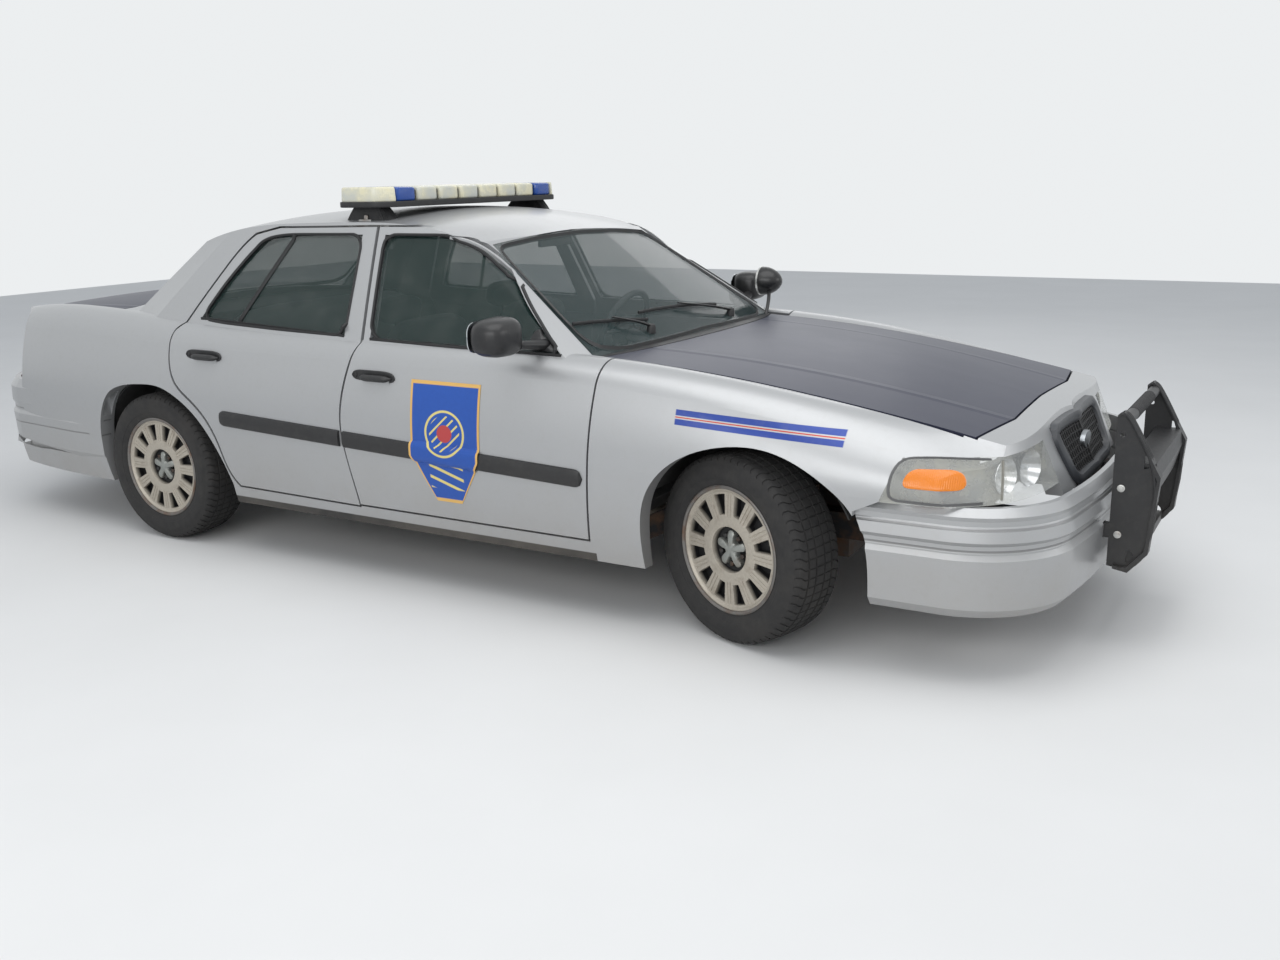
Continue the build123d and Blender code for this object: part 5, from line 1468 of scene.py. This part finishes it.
class PATROL_OT_steering(bpy.types.Operator):
    """Make the steering wheel with its padded rim, spokes and plain centre pad"""

    bl_idname = "patrol.steering"
    bl_label = "Steering wheel"

    def execute(self, context):
        dark = plastic("steering_wheel_grain", (0.055, 0.057, 0.06), 0.5, 420.0)
        centre = at(-1220, 380, 890)
        tilt = np.radians(22)
        ahead = np.array([np.cos(tilt), 0, -np.sin(tilt)])
        left = np.array([0, 1.0, 0])
        up = np.cross(ahead, left)
        turn = turns(64)[:, None]
        circle = centre + 0.190 * (left * np.cos(turn) + up * np.sin(turn))
        section = 0.0145 * np.stack([np.cos(turns(12)), np.sin(turns(12))], 1)
        rim = strip(circle, ahead, section, closed=True)
        dome = [(-0.030, 0.001), (-0.028, 0.045), (-0.018, 0.066), (0.0, 0.072), (0.024, 0.058), (0.038, 0.044),
                (0.039, 0.001)]
        pad = lathe(dome, centre, ahead, 40)
        spokes = []
        for y, z in ((1, 0.05), (-1, 0.05), (0.55, -0.83), (-0.55, -0.83)):
            way = left * y + up * z
            spokes.append(tube([centre + way * r for r in (0.05, 0.12, 0.188)], [0.022, 0.017, 0.012], 12, 0.5))
        piece = mesh_piece("steering_rim", [rim, pad] + spokes, dark, "steering_wheel")
        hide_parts("steering_wheel")
        return {"FINISHED"}


STEPS = (PATROL_OT_stage, PATROL_OT_finishes, PATROL_OT_tyres, PATROL_OT_wheel_covers, PATROL_OT_door_trim,
         PATROL_OT_light_bar, PATROL_OT_spotlight, PATROL_OT_grille, PATROL_OT_headlamps, PATROL_OT_wipers,
         PATROL_OT_glass_rubbers, PATROL_OT_push_bumper, PATROL_OT_seats, PATROL_OT_steering)
GROUPS = {"patrol_stage": StageSizes, "patrol_wheels": WheelSizes, "patrol_trim": TrimSizes, "patrol_nose": NoseSizes}


class PATROL_PT_panel(bpy.types.Panel):
    """Lists the steps that dress the car"""

    bl_idname = "PATROL_PT_panel"
    bl_label = "Patrol Car"
    bl_space_type = "VIEW_3D"
    bl_region_type = "UI"
    bl_category = "Patrol Car"

    def draw(self, context):
        for step in STEPS:
            self.layout.operator(step.bl_idname)


def register():
    """Add the sizes, the steps and the panel to Blender."""
    for group_name, group in GROUPS.items():
        bpy.utils.register_class(group)
        setattr(bpy.types.Scene, group_name, bpy.props.PointerProperty(type=group))
    for step in (*STEPS, PATROL_PT_panel):
        bpy.utils.register_class(step)


def unregister():
    """Take them out again, the last one first."""
    for step in (PATROL_PT_panel, *reversed(STEPS)):
        bpy.utils.unregister_class(step)
    for group_name, group in GROUPS.items():
        delattr(bpy.types.Scene, group_name)
        bpy.utils.unregister_class(group)


def main():
    """Run every step in order."""
    register()
    for step in STEPS:
        getattr(bpy.ops.patrol, step.bl_idname.split(".")[1])()


if __name__ == "__main__":
    main()
